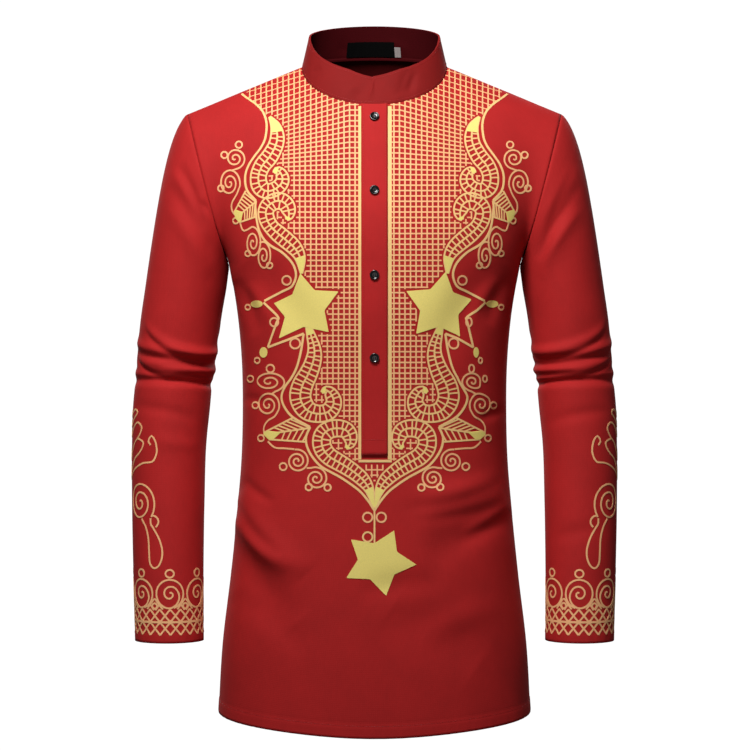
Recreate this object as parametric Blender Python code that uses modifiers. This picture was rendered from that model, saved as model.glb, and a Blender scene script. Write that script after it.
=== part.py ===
"""A long mandarin collar shirt, filled out as when it is worn, with nobody in it.

Metres, +Z up, the front faces -Y and +X is the wearer's left. The origin lies in the middle of the
neck, level with the two points where the shoulder seams meet the collar.
"""

import math
from collections import namedtuple

import bpy
import numpy as np

# Cloth and seams
CLOTH = 0.0015
COLLAR_CLOTH = 0.0022
STRIP_CLOTH = 0.0012
SEAM_GAP = 0.0003
STRIP_GAP = 0.0006

# Heights of the body, from the origin at the neck points
ARMPIT_Z = -0.243
HEM_SIDE_Z = -0.783
HEM_DROP = 0.019
HEM_CURVE = 1.3
RING_POWER = 2.5

# Neck and shoulder
NECK_HALF_WIDTH = 0.0885
NECK_SIDE_Y = 0.005
FRONT_NECK_Y = -0.068
FRONT_NECK_Z = -0.054
BACK_NECK_Y = 0.062
BACK_NECK_Z = 0.017
SHOULDER_TIP = (0.229, 0.008, -0.0575)

# How the body's columns leave the armpit level: up the chest and back, or round the armhole
FRONT_RISE = (0.0, -0.003, 0.075)
FRONT_SCOOP = (0.009, -0.085, 0.028)
BACK_RISE = (0.0, 0.008, 0.080)
BACK_SCOOP = (0.011, 0.090, 0.028)
SCOOP_POWER = 6

# Collar band: its upper edge, and how its two ends lap at the centre front
COLLAR_TOP_HALF_WIDTH = 0.080
COLLAR_TOP_FRONT = (-0.052, -0.0135)
COLLAR_TOP_SIDE = (0.004, 0.0365)
COLLAR_TOP_BACK = (0.056, 0.0558)
COLLAR_NOTCH = 0.0055
COLLAR_NOTCH_REACH = 0.030
COLLAR_LAP = 0.011
COLLAR_SLANT = 0.85
COLLAR_TUCK = COLLAR_CLOTH + 0.0005
COLLAR_TUCK_FROM = 32
COLLAR_TUCK_TO = 9
COLLAR_SEAM_GAP = 0.0005

# Half placket down the centre front, with its buttons
SLOT_HALF_WIDTH = 0.0130
STRIP_HALF_WIDTH = 0.0155
PLACKET_END_Z = -0.472
SLOT_END_Z = -0.466
STRIP_TOP_HEIGHT = 1.995
BUTTON_HEIGHTS = (-0.070, -0.160, -0.260, -0.357)
BUTTON_RADIUS = 0.00575
BUTTON_THICKNESS = 0.0023
BUTTON_WELL_RADIUS = 0.0034
BUTTON_WELL_DEPTH = 0.0007
BUTTON_CHAMFER = 0.0007
BUTTON_GAP = 0.0003
BUTTON_HOLES = 4
BUTTON_HOLE_RADIUS = 0.0007
BUTTON_HOLE_OFFSET = 0.0012

# Sleeve: the level where its cap becomes a plain tube, and its cuff edge
CAP_END_Z = -0.272
CUFF_Z = -0.6955
ELBOW_TOP_Z = -0.325
ELBOW_END_Z = -0.400
FOLD_ARC_RADIUS = 0.050

# How the cap leaves the armhole, as parts of a direction, and how far each end of its bend reaches
CAP_SPREAD_UNDER = 0.10
CAP_SPREAD_OVER = 0.62
CAP_SPREAD_DEPTH = 0.12
CAP_LIFT = 0.30
CAP_TUBE_LEAN = 0.14
CAP_START_REACH = 0.15
CAP_END_REACH = 0.55

# Label and size tab inside the back of the collar
LABEL_WIDTH = 0.056
LABEL_HEIGHT = 0.0185
LABEL_MIDDLE_X = -0.0045
LABEL_BASE_SHARE = 0.04
TAB_WIDTH = 0.007
TAB_HEIGHT = 0.0125
LABEL_CLOTH = 0.0008
LABEL_GAP = 0.0009

# How finely the walls are divided
NECK_COLUMNS = 7
SHOULDER_COLUMNS = 7
LOWER_ROWS = 18
ARMHOLE_ROWS = 11
CAP_ROWS = 10
UPPER_TUBE_ROWS = 3
ELBOW_ROWS = 12
FOREARM_ROWS = 8
COLLAR_ROWS = 3
STRIP_ROWS = 23
STRIP_COLUMNS = 4
LABEL_ROWS = 2
LABEL_COLUMNS = 6
TAB_COLUMNS = 2
BUTTON_SIDES = 14
BUTTON_HOLE_SIDES = 6

# Folds fade out over this many rows or columns at a seam, and above this height of a panel
SEAM_FADE = 3
FOLDS_FADE_HEIGHT = 1.5

# Two walls at a seam lean on one direction where the cosine between their normals is high
UNLIKE_NORMALS = -0.2
LIKE_NORMALS = 0.5

BodySection = namedtuple("BodySection", "z half_width front back")
BODY = (
    BodySection(-0.243, 0.1770, 0.122, 0.112),
    BodySection(-0.300, 0.1670, 0.122, 0.103),
    BodySection(-0.360, 0.1615, 0.118, 0.094),
    BodySection(-0.420, 0.1604, 0.115, 0.092),
    BodySection(-0.480, 0.1620, 0.116, 0.100),
    BodySection(-0.540, 0.1670, 0.120, 0.111),
    BodySection(-0.620, 0.1750, 0.125, 0.119),
    BodySection(-0.700, 0.1845, 0.128, 0.122),
    BodySection(-0.805, 0.1905, 0.130, 0.123),
)

SleeveSection = namedtuple("SleeveSection", "z middle_x half_width middle_y half_depth")
SLEEVE = (
    SleeveSection(-0.272, 0.2305, 0.0495, 0.003, 0.0560),
    SleeveSection(-0.308, 0.2361, 0.0490, 0.002, 0.0550),
    SleeveSection(-0.345, 0.2400, 0.0486, 0.001, 0.0530),
    SleeveSection(-0.382, 0.2443, 0.0470, -0.001, 0.0510),
    SleeveSection(-0.418, 0.2474, 0.0468, -0.004, 0.0500),
    SleeveSection(-0.455, 0.2495, 0.0453, -0.008, 0.0490),
    SleeveSection(-0.528, 0.2500, 0.0439, -0.018, 0.0470),
    SleeveSection(-0.602, 0.2490, 0.0425, -0.029, 0.0450),
    SleeveSection(-0.700, 0.2465, 0.0407, -0.043, 0.0430),
)

# Where each column of the upper body heads, before it bends over to the neck or shoulder seam:
# share 0 is the centre, 0.5 the neck point and 1 the tip of the shoulder.
LeadPoint = namedtuple("LeadPoint", "share x y z")
FRONT_LEAD = (
    LeadPoint(0.00, 0.0000, -0.0890, -0.0995),
    LeadPoint(0.25, 0.0665, -0.0780, -0.0820),
    LeadPoint(0.50, 0.1100, -0.0560, -0.0480),
    LeadPoint(0.75, 0.1640, -0.0560, -0.0500),
    LeadPoint(1.00, 0.2200, -0.0600, -0.0860),
)
BACK_LEAD = (
    LeadPoint(0.00, 0.0000, 0.0970, -0.0330),
    LeadPoint(0.25, 0.0660, 0.0860, -0.0230),
    LeadPoint(0.50, 0.1120, 0.0660, -0.0130),
    LeadPoint(0.75, 0.1640, 0.0660, -0.0380),
    LeadPoint(1.00, 0.2220, 0.0740, -0.0880),
)

# A fold runs from one end to the other, bowed sideways; a ridge stands out and a trough goes in.
BodyFold = namedtuple("BodyFold", "x0 z0 x1 z1 bow half_width height")
FRONT_FOLDS = (
    BodyFold(-0.165, -0.520, -0.080, -0.610, -0.012, 0.018, 0.0070),
    BodyFold(-0.170, -0.565, -0.090, -0.665, -0.010, 0.020, -0.0060),
    BodyFold(0.155, -0.515, 0.045, -0.550, -0.010, 0.018, 0.0065),
    BodyFold(0.170, -0.550, 0.060, -0.600, -0.012, 0.020, -0.0060),
    BodyFold(-0.155, -0.245, -0.070, -0.350, 0.010, 0.024, -0.0040),
    BodyFold(0.155, -0.245, 0.075, -0.360, -0.010, 0.024, -0.0045),
    BodyFold(0.020, -0.650, 0.120, -0.720, 0.010, 0.030, -0.0045),
)
BACK_FOLDS = (
    BodyFold(-0.135, -0.385, 0.030, -0.425, -0.010, 0.022, 0.0065),
    BodyFold(-0.030, -0.460, 0.140, -0.420, 0.010, 0.024, -0.0060),
    BodyFold(0.150, -0.245, 0.060, -0.360, -0.012, 0.024, -0.0050),
    BodyFold(-0.150, -0.245, -0.070, -0.350, 0.012, 0.024, -0.0050),
    BodyFold(-0.100, -0.560, -0.060, -0.750, 0.008, 0.026, -0.0055),
    BodyFold(0.085, -0.580, 0.060, -0.760, -0.008, 0.026, -0.0050),
)

# On a sleeve, an angle of 0 is the outer side, 90 the front, 180 the side next to the body.
SleeveFold = namedtuple("SleeveFold", "angle0 z0 angle1 z1 bow half_width height")
ELBOW_FOLDS = (
    SleeveFold(-60, -0.336, 185, -0.352, -0.006, 0.0070, 0.0045),
    SleeveFold(-40, -0.346, 200, -0.362, -0.007, 0.0050, -0.0045),
    SleeveFold(-10, -0.357, 230, -0.369, -0.004, 0.0060, 0.0040),
    SleeveFold(-50, -0.366, 150, -0.378, -0.003, 0.0050, -0.0040),
    SleeveFold(-80, -0.372, 210, -0.381, 0.002, 0.0060, 0.0030),
    SleeveFold(-60, -0.384, 220, -0.390, 0.002, 0.0050, -0.0040),
    SleeveFold(170, -0.335, 330, -0.350, 0.004, 0.0080, -0.0050),
    SleeveFold(190, -0.372, 320, -0.360, 0.003, 0.0080, -0.0045),
)
CAP_FOLDS = (
    SleeveFold(30, -0.125, 118, -0.222, 0.006, 0.0090, 0.0050),
    SleeveFold(38, -0.145, 130, -0.240, 0.006, 0.0080, -0.0050),
    SleeveFold(42, -0.172, 125, -0.262, 0.006, 0.0090, 0.0045),
    SleeveFold(235, -0.215, 320, -0.130, 0.006, 0.0120, -0.0050),
)


def along(table, key, column, place):
    """One column of a table at a place along its key column, on a smooth curve through its rows."""
    keys = np.array([getattr(row, key) for row in table])
    values = np.array([getattr(row, column) for row in table])
    slopes = np.gradient(values, keys)
    if keys[0] > keys[-1]:
        keys, values, slopes = keys[::-1], values[::-1], slopes[::-1]
    i = min(max(int(np.searchsorted(keys, place)) - 1, 0), len(keys) - 2)
    step = keys[i + 1] - keys[i]
    t = min(max((place - keys[i]) / step, 0.0), 1.0)
    return (
        (2 * t ** 3 - 3 * t ** 2 + 1) * values[i]
        + (t ** 3 - 2 * t ** 2 + t) * step * slopes[i]
        + (3 * t ** 2 - 2 * t ** 3) * values[i + 1]
        + (t ** 3 - t ** 2) * step * slopes[i + 1]
    )


def bezier(points, share):
    """A point on the cubic curve with these four control points."""
    a, b, c, d = (np.array(p, float) for p in points)
    rest = 1 - share
    return a * rest ** 3 + 3 * b * share * rest ** 2 + 3 * c * share ** 2 * rest + d * share ** 3


def smooth_step(low, high, value):
    share = min(max((value - low) / (high - low), 0.0), 1.0)
    return share * share * (3 - 2 * share)


def body_ring(side, angle, z):
    """A point of the body's oval section: angle 0 is the centre, 90 degrees the side seam."""
    half_width = along(BODY, "z", "half_width", z)
    depth = along(BODY, "z", "front" if side < 0 else "back", z)
    c, s = abs(math.cos(angle)), abs(math.sin(angle))
    reach = ((c / depth) ** RING_POWER + (s / half_width) ** RING_POWER) ** (-1 / RING_POWER)
    return np.array([reach * s, side * reach * c, z])


def neck_point(side, turn):
    """The neck seam: turn 0 is the centre front or back, 90 degrees the shoulder seam."""
    y, z = (FRONT_NECK_Y, FRONT_NECK_Z) if side < 0 else (BACK_NECK_Y, BACK_NECK_Z)
    c = math.cos(turn)
    return np.array([
        NECK_HALF_WIDTH * math.sin(turn),
        NECK_SIDE_Y + (y - NECK_SIDE_Y) * c,
        z * c,
    ])


def top_edge(side, share):
    """The neck seam for the first half of the share, then the shoulder seam out to its tip."""
    if share <= 0.5:
        return neck_point(side, math.pi * share)
    run = (share - 0.5) * 2
    inner = neck_point(side, math.pi / 2)
    return inner + (np.array(SHOULDER_TIP) - inner) * run


def body_point(side, share, height):
    """A point of the front (side -1) or back (side 1), on the half at +X.

    share goes from 0 at the centre to 1 at the side seam or armhole. height goes from 0 at the hem
    to 1 at the armpit and 2 at the neck and shoulder seams.
    """
    angle = share * math.pi / 2
    if height <= 1:
        hem_z = HEM_SIDE_Z - HEM_DROP * math.cos(angle) ** HEM_CURVE
        return body_ring(side, angle, hem_z + height * (ARMPIT_Z - hem_z))
    chest = body_ring(side, angle, ARMPIT_Z)
    top = top_edge(side, share)
    rise, scoop = (FRONT_RISE, FRONT_SCOOP) if side < 0 else (BACK_RISE, BACK_SCOOP)
    start = np.array(rise) + (np.array(scoop) - rise) * share ** SCOOP_POWER
    leads = FRONT_LEAD if side < 0 else BACK_LEAD
    lead = [along(leads, "share", column, share) for column in ("x", "y", "z")]
    return bezier((chest, chest + start, lead, top), height - 1)


def share_at(side, height, x):
    """The share at which a row of the body passes a given distance from the centre."""
    shares = np.linspace(0, 0.4, 41)
    xs = [body_point(side, share, height)[0] for share in shares]
    return float(np.interp(x, xs, shares))


def height_at(side, z):
    """The height parameter at which the centre of a panel passes level z."""
    heights = np.linspace(0, 2, 401)
    zs = [body_point(side, 0, height)[2] for height in heights]
    return float(np.interp(z, zs, heights))


def fold_height(fold, across, z, across_scale=1.0):
    """How far one fold moves the cloth out at a place on it."""
    start = np.array([fold[0] * across_scale, fold[1]])
    end = np.array([fold[2] * across_scale, fold[3]])
    run = end - start
    length = float(np.hypot(*run))
    run /= length
    there = np.array([across * across_scale, z]) - start
    share = float(there @ run) / length
    if not 0 < share < 1:
        return 0.0
    off = float(there @ np.array([-run[1], run[0]])) - fold.bow * 4 * share * (1 - share)
    return fold.height * math.exp(-((off / fold.half_width) ** 2)) * math.sin(math.pi * share) ** 0.8


def grid_normals(grid, outwards, closed=False):
    """The outward direction at each point of a grid of rows and columns."""
    if closed:
        ring = np.concatenate([grid[:, -1:], grid, grid[:, :1]], axis=1)
        across = ring[:, 2:] - ring[:, :-2]
    else:
        across = np.gradient(grid, axis=1)
    normal = np.cross(across, np.gradient(grid, axis=0)) * outwards
    return normal / np.linalg.norm(normal, axis=2, keepdims=True)


def body_grid(side):
    """Rows of points of a panel from hem to top, from the side seam at -X to the one at +X."""
    slot_height = height_at(side, SLOT_END_Z)
    lower = list(np.linspace(0, 1, LOWER_ROWS + 1))
    if side < 0:
        nearest = min(range(1, LOWER_ROWS), key=lambda k: abs(lower[k] - slot_height))
        lower[nearest] = slot_height
    heights = lower + list(np.linspace(1, 2, ARMHOLE_ROWS + 1))[1:]
    rows = []
    for height in heights:
        first = share_at(side, height, SLOT_HALF_WIDTH) if side < 0 else 0.0
        shares = list(np.linspace(first, 0.5, NECK_COLUMNS + 1))
        shares += list(np.linspace(0.5, 1, SHOULDER_COLUMNS + 1))[1:]
        half = [body_point(side, share, height) for share in shares]
        mirrored = [point * (-1, 1, 1) for point in reversed(half)]
        rows.append((mirrored if side < 0 else mirrored[:-1]) + half)
    return np.array(rows), heights


def folded_body(side, folds):
    """The panel with its folds, which fade out towards the seams that it shares."""
    grid, heights = body_grid(side)
    normals = grid_normals(grid, 1 if side < 0 else -1)
    columns = grid.shape[1]
    out = grid.copy()
    for i, height in enumerate(heights):
        for j in range(columns):
            x, _, z = grid[i, j]
            from_seam = smooth_step(0, SEAM_FADE, min(j, columns - 1 - j))
            fade = from_seam * (1 - smooth_step(FOLDS_FADE_HEIGHT, 2.0, height))
            lift = sum(fold_height(fold, x, z) for fold in folds)
            out[i, j] += normals[i, j] * lift * fade
    return out, heights


def armhole():
    """The armhole at +X as a ring: from the shoulder tip down the front, and up the back."""
    shares = np.linspace(2, 1, ARMHOLE_ROWS + 1)
    front = [body_point(-1, 1, height) for height in shares]
    back = [body_point(1, 1, height) for height in shares[::-1]]
    return np.array(front + back[1:-1])


def sleeve_ring(turn, z):
    """A point of the sleeve's oval section: turn 0 is the outer side, 90 degrees the front."""
    middle_x, half_width, middle_y, half_depth = (
        along(SLEEVE, "z", column, z) for column in SleeveSection._fields[1:]
    )
    return np.array([middle_x + half_width * math.cos(turn), middle_y - half_depth * math.sin(turn), z])


def cap_point(start, turn, share):
    """A point of the cap: it leaves the armhole outwards and bends over into the tube."""
    outer = (1 + math.cos(turn)) / 2
    end = sleeve_ring(turn, CAP_END_Z)
    reach = float(np.linalg.norm(end - start))
    leave = np.array([
        CAP_SPREAD_UNDER + CAP_SPREAD_OVER * outer,
        -CAP_SPREAD_DEPTH * math.sin(turn),
        -1.0 + CAP_LIFT * outer,
    ])
    arrive = np.array([CAP_TUBE_LEAN, 0.0, -1.0])
    leave *= CAP_START_REACH * reach / np.linalg.norm(leave)
    arrive *= CAP_END_REACH * reach / np.linalg.norm(arrive)
    return bezier((start, start + leave, end - arrive, end), share)


def tube_levels():
    """Heights of the plain tube's rings, closer together at the elbow's folds."""
    above = np.linspace(CAP_END_Z, ELBOW_TOP_Z, UPPER_TUBE_ROWS + 1)
    elbow = np.linspace(ELBOW_TOP_Z, ELBOW_END_Z, ELBOW_ROWS + 1)
    below = np.linspace(ELBOW_END_Z, CUFF_Z, FOREARM_ROWS + 1)
    return list(above[1:-1]) + list(elbow) + list(below[1:])


def arc_fold(fold, angle, z):
    """A sleeve's fold, with the angle turned into a length round the sleeve."""
    return fold_height(fold, angle, z, math.radians(FOLD_ARC_RADIUS))


def sleeve_grid():
    """Rings of the sleeve at +X from the armhole to the cuff edge, with its folds."""
    ring = armhole()
    turns = [2 * math.pi * k / len(ring) for k in range(len(ring))]
    shares = np.linspace(0, 1, CAP_ROWS + 1)
    rows = [[cap_point(start, turn, share) for start, turn in zip(ring, turns)] for share in shares]
    rows += [[sleeve_ring(turn, z) for turn in turns] for z in tube_levels()]
    grid = np.array(rows)
    normals = grid_normals(grid, 1, closed=True)
    out = grid.copy()
    for i in range(1, len(rows)):
        fade = smooth_step(0, SEAM_FADE, i) * smooth_step(0, SEAM_FADE, len(rows) - 1 - i)
        for j, turn in enumerate(turns):
            lift = 0.0
            for fold in ELBOW_FOLDS + CAP_FOLDS:
                for angle in (math.degrees(turn) - 360, math.degrees(turn)):
                    lift += arc_fold(fold, angle, grid[i, j][2])
            out[i, j] += normals[i, j] * lift * fade
    return out


def pulled_in(grid, sides):
    """The grid with its named sides moved in by half of the seam's gap."""
    out = grid.copy()
    moves = {
        "first_row": (np.s_[0], np.s_[1]),
        "last_row": (np.s_[-1], np.s_[-2]),
        "first_column": (np.s_[:, 0], np.s_[:, 1]),
        "last_column": (np.s_[:, -1], np.s_[:, -2]),
    }
    for side in sides:
        edge, inner = moves[side]
        step = grid[inner] - grid[edge]
        out[edge] += step / np.linalg.norm(step, axis=1, keepdims=True) * SEAM_GAP / 2
    return out


def signed_volume(points, faces):
    """Six times the volume inside the faces, positive where they point out."""
    total = 0.0
    for face in faces:
        for k in range(1, len(face) - 1):
            a, b, c = points[face[0]], points[face[k]], points[face[k + 1]]
            total += float(np.dot(a, np.cross(b, c)))
    return total


def wall(name, outer, normals, thickness, cloth, closed=False, left_out=()):
    """A closed solid of even thickness: the outer grid, the same grid moved in, and the rims."""
    rows, columns = outer.shape[:2]
    inner = outer - normals * thickness
    points = np.concatenate([outer.reshape(-1, 3), inner.reshape(-1, 3)])
    under = rows * columns
    cells = []
    for i in range(rows - 1):
        for j in range(columns if closed else columns - 1):
            if (i, j) in left_out:
                continue
            k = (j + 1) % columns
            cells.append((i * columns + j, i * columns + k, (i + 1) * columns + k, (i + 1) * columns + j))
    edges = {(cell[k], cell[(k + 1) % 4]) for cell in cells for k in range(4)}
    rims = sorted((a, b) for a, b in edges if (b, a) not in edges)
    faces = list(cells)
    faces += [tuple(under + corner for corner in reversed(cell)) for cell in cells]
    faces += [(b, a, a + under, b + under) for a, b in rims]
    if signed_volume(points, faces) < 0:
        faces = [tuple(reversed(face)) for face in faces]
    used = sorted({corner for face in faces for corner in face})
    renumber = {old: new for new, old in enumerate(used)}
    mesh = bpy.data.meshes.new(name)
    corners = [tuple(float(c) for c in points[k]) for k in used]
    mesh.from_pydata(corners, [], [tuple(renumber[corner] for corner in face) for face in faces])
    mesh.shade_smooth()
    mesh.materials.append(cloth)
    COLLECTION.objects.link(bpy.data.objects.new(name, mesh))


def material(name, colour, roughness):
    made = bpy.data.materials.new(name)
    made.use_nodes = True
    shader = made.node_tree.nodes["Principled BSDF"]
    shader.inputs["Base Color"].default_value = (*colour, 1)
    shader.inputs["Roughness"].default_value = roughness
    shader.inputs["Metallic"].default_value = 0.0
    return made


def share_normals(first, at_first, second, at_second):
    """Lean both walls of a seam on the same direction, unless they face away from each other."""
    a, b = first[at_first], second[at_second]
    weight = smooth_step(UNLIKE_NORMALS, LIKE_NORMALS, float(np.dot(a, b)))
    towards_b, towards_a = a + b * weight, b + a * weight
    first[at_first] = towards_b / np.linalg.norm(towards_b)
    second[at_second] = towards_a / np.linalg.norm(towards_a)


def build_body_and_sleeves(cloth):
    """Front, back and two sleeves, which share the points of their seams."""
    front, heights = folded_body(-1, FRONT_FOLDS)
    back, _ = folded_body(1, BACK_FOLDS)
    front_normals = grid_normals(front, 1)
    back_normals = grid_normals(back, -1)
    last = len(heights) - 1
    for i in list(range(LOWER_ROWS + 1)) + [last]:
        for j in (0, -1):
            share_normals(front_normals, (i, j), back_normals, (i, j))
    for k in range(1, SHOULDER_COLUMNS + 1):
        for j in (k, -k - 1):
            share_normals(front_normals, (last, j), back_normals, (last, j))
    sleeves = {}
    for name, sign in (("sleeve_left", 1), ("sleeve_right", -1)):
        grid = sleeve_grid()
        normals = grid_normals(grid, 1, closed=True)
        grid, normals = grid * (sign, 1, 1), normals * (sign, 1, 1)
        column = -1 if sign > 0 else 0
        for k in range(2 * ARMHOLE_ROWS):
            if k <= ARMHOLE_ROWS:
                share_normals(front_normals, (last - k, column), normals, (0, k))
            else:
                share_normals(back_normals, (LOWER_ROWS - ARMHOLE_ROWS + k, column), normals, (0, k))
        sleeves[name] = (grid, normals)
    for j in (0, -1):
        for i in (LOWER_ROWS, last):
            shared = front_normals[i, j] + back_normals[i, j]
            front_normals[i, j] = back_normals[i, j] = shared / np.linalg.norm(shared)

    slot_height = height_at(-1, SLOT_END_Z)
    slot_row = min(range(len(heights)), key=lambda k: abs(heights[k] - slot_height))
    middle = front.shape[1] // 2 - 1
    slot = {(i, middle) for i in range(slot_row, last)}
    seams = ("last_row", "first_column", "last_column")
    wall("front_body", pulled_in(front, seams), front_normals, CLOTH, cloth, left_out=slot)
    wall("back_body", pulled_in(back, seams), back_normals, CLOTH, cloth)
    for name, (grid, normals) in sleeves.items():
        wall(name, pulled_in(grid, ("first_row",)), normals, CLOTH, cloth, closed=True)


def collar_turns():
    """Turns round the neck from the lapping end, over +X and the back, to the end beneath it."""
    lap = math.asin(COLLAR_LAP / NECK_HALF_WIDTH)
    slot_edge = math.pi * share_at(-1, 2, SLOT_HALF_WIDTH)
    half = [-lap] + list(np.linspace(-slot_edge / 3, slot_edge, 3))
    half += list(np.linspace(slot_edge, math.pi / 2, NECK_COLUMNS + 1)[1:])
    half += list(np.linspace(math.pi / 2, math.pi, NECK_COLUMNS + 1)[1:])
    return half + [2 * math.pi - turn for turn in reversed(half[:-1])]


def collar_point(turn, rise):
    """A point of the collar's outer face: rise 0 is the neck seam, 1 the upper edge."""
    side = -1 if math.cos(turn) > 0 else 1
    base = neck_point(side, math.asin(abs(math.sin(turn))))
    base[0] = NECK_HALF_WIDTH * math.sin(turn)
    y, z = COLLAR_TOP_FRONT if side < 0 else COLLAR_TOP_BACK
    side_y, side_z = COLLAR_TOP_SIDE
    c = abs(math.cos(turn))
    top_x = COLLAR_TOP_HALF_WIDTH * math.sin(turn)
    top = np.array([top_x, side_y + (y - side_y) * c, side_z + (z - side_z) * c])
    if side < 0:
        top[2] -= COLLAR_NOTCH * max(0.0, 1 - abs(top[0]) / COLLAR_NOTCH_REACH)
    up = (top - base) / np.linalg.norm(top - base)
    return base + up * COLLAR_SEAM_GAP + (top - base) * rise


def build_collar(cloth):
    """One stiff band round the neck, whose wearer's left end laps over the right one."""
    turns = collar_turns()
    rows = []
    for rise in np.linspace(0, 1, COLLAR_ROWS + 1):
        past_centre = [min(turn, 0.0) + max(turn - 2 * math.pi, 0.0) for turn in turns]
        slanted = [turn - past * COLLAR_SLANT * rise for turn, past in zip(turns, past_centre)]
        rows.append([collar_point(turn, rise) for turn in slanted])
    grid = np.array(rows)
    normals = grid_normals(grid, 1)
    for j, turn in enumerate(turns):
        before_centre = math.degrees(turn) - 360
        tuck = smooth_step(-COLLAR_TUCK_FROM, -COLLAR_TUCK_TO, before_centre) * COLLAR_TUCK
        grid[:, j] -= normals[:, j] * tuck
    wall("collar_band", grid, grid_normals(grid, 1), COLLAR_CLOTH, cloth)


def strip_grid(lift):
    """Points over the slot, from the strip's lower end to the neck seam, moved off the panel."""
    heights = np.linspace(height_at(-1, PLACKET_END_Z), STRIP_TOP_HEIGHT, STRIP_ROWS + 1)
    rows = []
    for height in heights:
        row = []
        ahead = body_point(-1, 0, min(height + 0.01, 2)) - body_point(-1, 0, height - 0.01)
        normal = np.cross((1, 0, 0), ahead)
        normal /= np.linalg.norm(normal)
        for x in np.linspace(-STRIP_HALF_WIDTH, STRIP_HALF_WIDTH, STRIP_COLUMNS + 1):
            point = body_point(-1, share_at(-1, height, abs(x)), height)
            row.append(point * (math.copysign(1, x), 1, 1) + normal * lift)
        rows.append(row)
    return np.array(rows)


def build_placket(cloth):
    """Two strips over the slot: the buttonhole strip outside, the button strip behind the front."""
    over = strip_grid(STRIP_GAP + STRIP_CLOTH)
    wall("placket_top_strip", over, grid_normals(over, 1), STRIP_CLOTH, cloth)
    under = strip_grid(-CLOTH - STRIP_GAP)
    wall("placket_under_strip", under, grid_normals(under, 1), STRIP_CLOTH, cloth)
    return over[:, STRIP_COLUMNS // 2]


def turned_button(plastic):
    """A button's mesh: a turned disc with a rounded rim and a well, cut by four thread holes."""
    well = BUTTON_THICKNESS - BUTTON_WELL_DEPTH
    profile = (
        (0.0, well),
        (BUTTON_WELL_RADIUS, well),
        (BUTTON_WELL_RADIUS + BUTTON_WELL_DEPTH, BUTTON_THICKNESS),
        (BUTTON_RADIUS - BUTTON_CHAMFER, BUTTON_THICKNESS),
        (BUTTON_RADIUS, BUTTON_THICKNESS - BUTTON_CHAMFER),
        (BUTTON_RADIUS, BUTTON_CHAMFER),
        (BUTTON_RADIUS - BUTTON_CHAMFER, 0.0),
        (0.0, 0.0),
    )
    mesh = bpy.data.meshes.new("button_profile")
    mesh.from_pydata([(x, 0, z) for x, z in profile], [(k, k + 1) for k in range(len(profile) - 1)], [])
    blank = bpy.data.objects.new("button_blank", mesh)
    COLLECTION.objects.link(blank)
    screw = blank.modifiers.new("turn", "SCREW")
    screw.steps = screw.render_steps = BUTTON_SIDES
    screw.use_merge_vertices = True
    screw.merge_threshold = 0.00001
    for k in range(BUTTON_HOLES):
        turn = 2 * math.pi * (k + 0.5) / BUTTON_HOLES
        place = (BUTTON_HOLE_OFFSET * math.cos(turn), BUTTON_HOLE_OFFSET * math.sin(turn), 0)
        bpy.ops.mesh.primitive_cylinder_add(
            vertices=BUTTON_HOLE_SIDES, radius=BUTTON_HOLE_RADIUS, depth=4 * BUTTON_THICKNESS, location=place
        )
        cutter = bpy.context.object
        cutter.name = f"button_hole_cutter_{k + 1}"
        cutter.hide_render = True
        cutter.display_type = "WIRE"
        cut = blank.modifiers.new("thread_hole", "BOOLEAN")
        cut.operation = "DIFFERENCE"
        cut.object = cutter
    bpy.context.view_layer.update()
    button = bpy.data.meshes.new_from_object(blank.evaluated_get(bpy.context.evaluated_depsgraph_get()))
    button.name = "button"
    button.materials.clear()
    button.materials.append(plastic)
    bpy.data.objects.remove(blank)
    return button


def build_buttons(plastic, strip_middle):
    """Four equal buttons, each flat on the outer strip."""
    button = turned_button(plastic)
    for number, z in enumerate(BUTTON_HEIGHTS, 1):
        y = float(np.interp(z, strip_middle[:, 2], strip_middle[:, 1]))
        k = int(np.argmin(abs(strip_middle[:, 2] - z)))
        normal = np.cross((1, 0, 0), strip_middle[k + 1] - strip_middle[k - 1])
        normal /= np.linalg.norm(normal)
        placed = bpy.data.objects.new(f"button_{number}", button)
        placed.rotation_euler = (math.atan2(-normal[1], normal[2]), 0, 0)
        placed.location = np.array([0, y, z]) + normal * BUTTON_GAP
        COLLECTION.objects.link(placed)


def collar_patch(middle_x, width, height, columns):
    """Points on the collar's outer face at the centre back, above its seam, with their normals."""
    tall = float(np.linalg.norm(collar_point(math.pi, 1) - collar_point(math.pi, 0)))
    rises = LABEL_BASE_SHARE + np.linspace(0, height / tall, LABEL_ROWS + 1)
    xs = np.linspace(middle_x - width / 2, middle_x + width / 2, columns + 1)
    turns = [math.pi - math.asin(x / COLLAR_TOP_HALF_WIDTH) for x in xs]
    grid = np.array([[collar_point(turn, rise) for turn in turns] for rise in rises])
    return grid, grid_normals(grid, -1)


def build_labels(black, white):
    """A plain woven label and a size tab beside it, sewn inside the back of the collar."""
    tab_x = LABEL_MIDDLE_X + LABEL_WIDTH / 2 + TAB_WIDTH / 2 + SEAM_GAP
    pieces = (
        ("neck_label", LABEL_MIDDLE_X, LABEL_WIDTH, LABEL_HEIGHT, LABEL_COLUMNS, black),
        ("size_tab", tab_x, TAB_WIDTH, TAB_HEIGHT, TAB_COLUMNS, white),
    )
    for name, middle_x, width, height, columns, weave in pieces:
        grid, normals = collar_patch(middle_x, width, height, columns)
        wall(name, grid - normals * (COLLAR_CLOTH + LABEL_GAP), normals, LABEL_CLOTH, weave)


for old in list(bpy.data.objects):
    bpy.data.objects.remove(old)
COLLECTION = bpy.data.collections.new("mandarin_collar_shirt")
CUTTERS = bpy.data.collections.new("cutters")
for collection in (COLLECTION, CUTTERS):
    bpy.context.scene.collection.children.link(collection)
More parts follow.
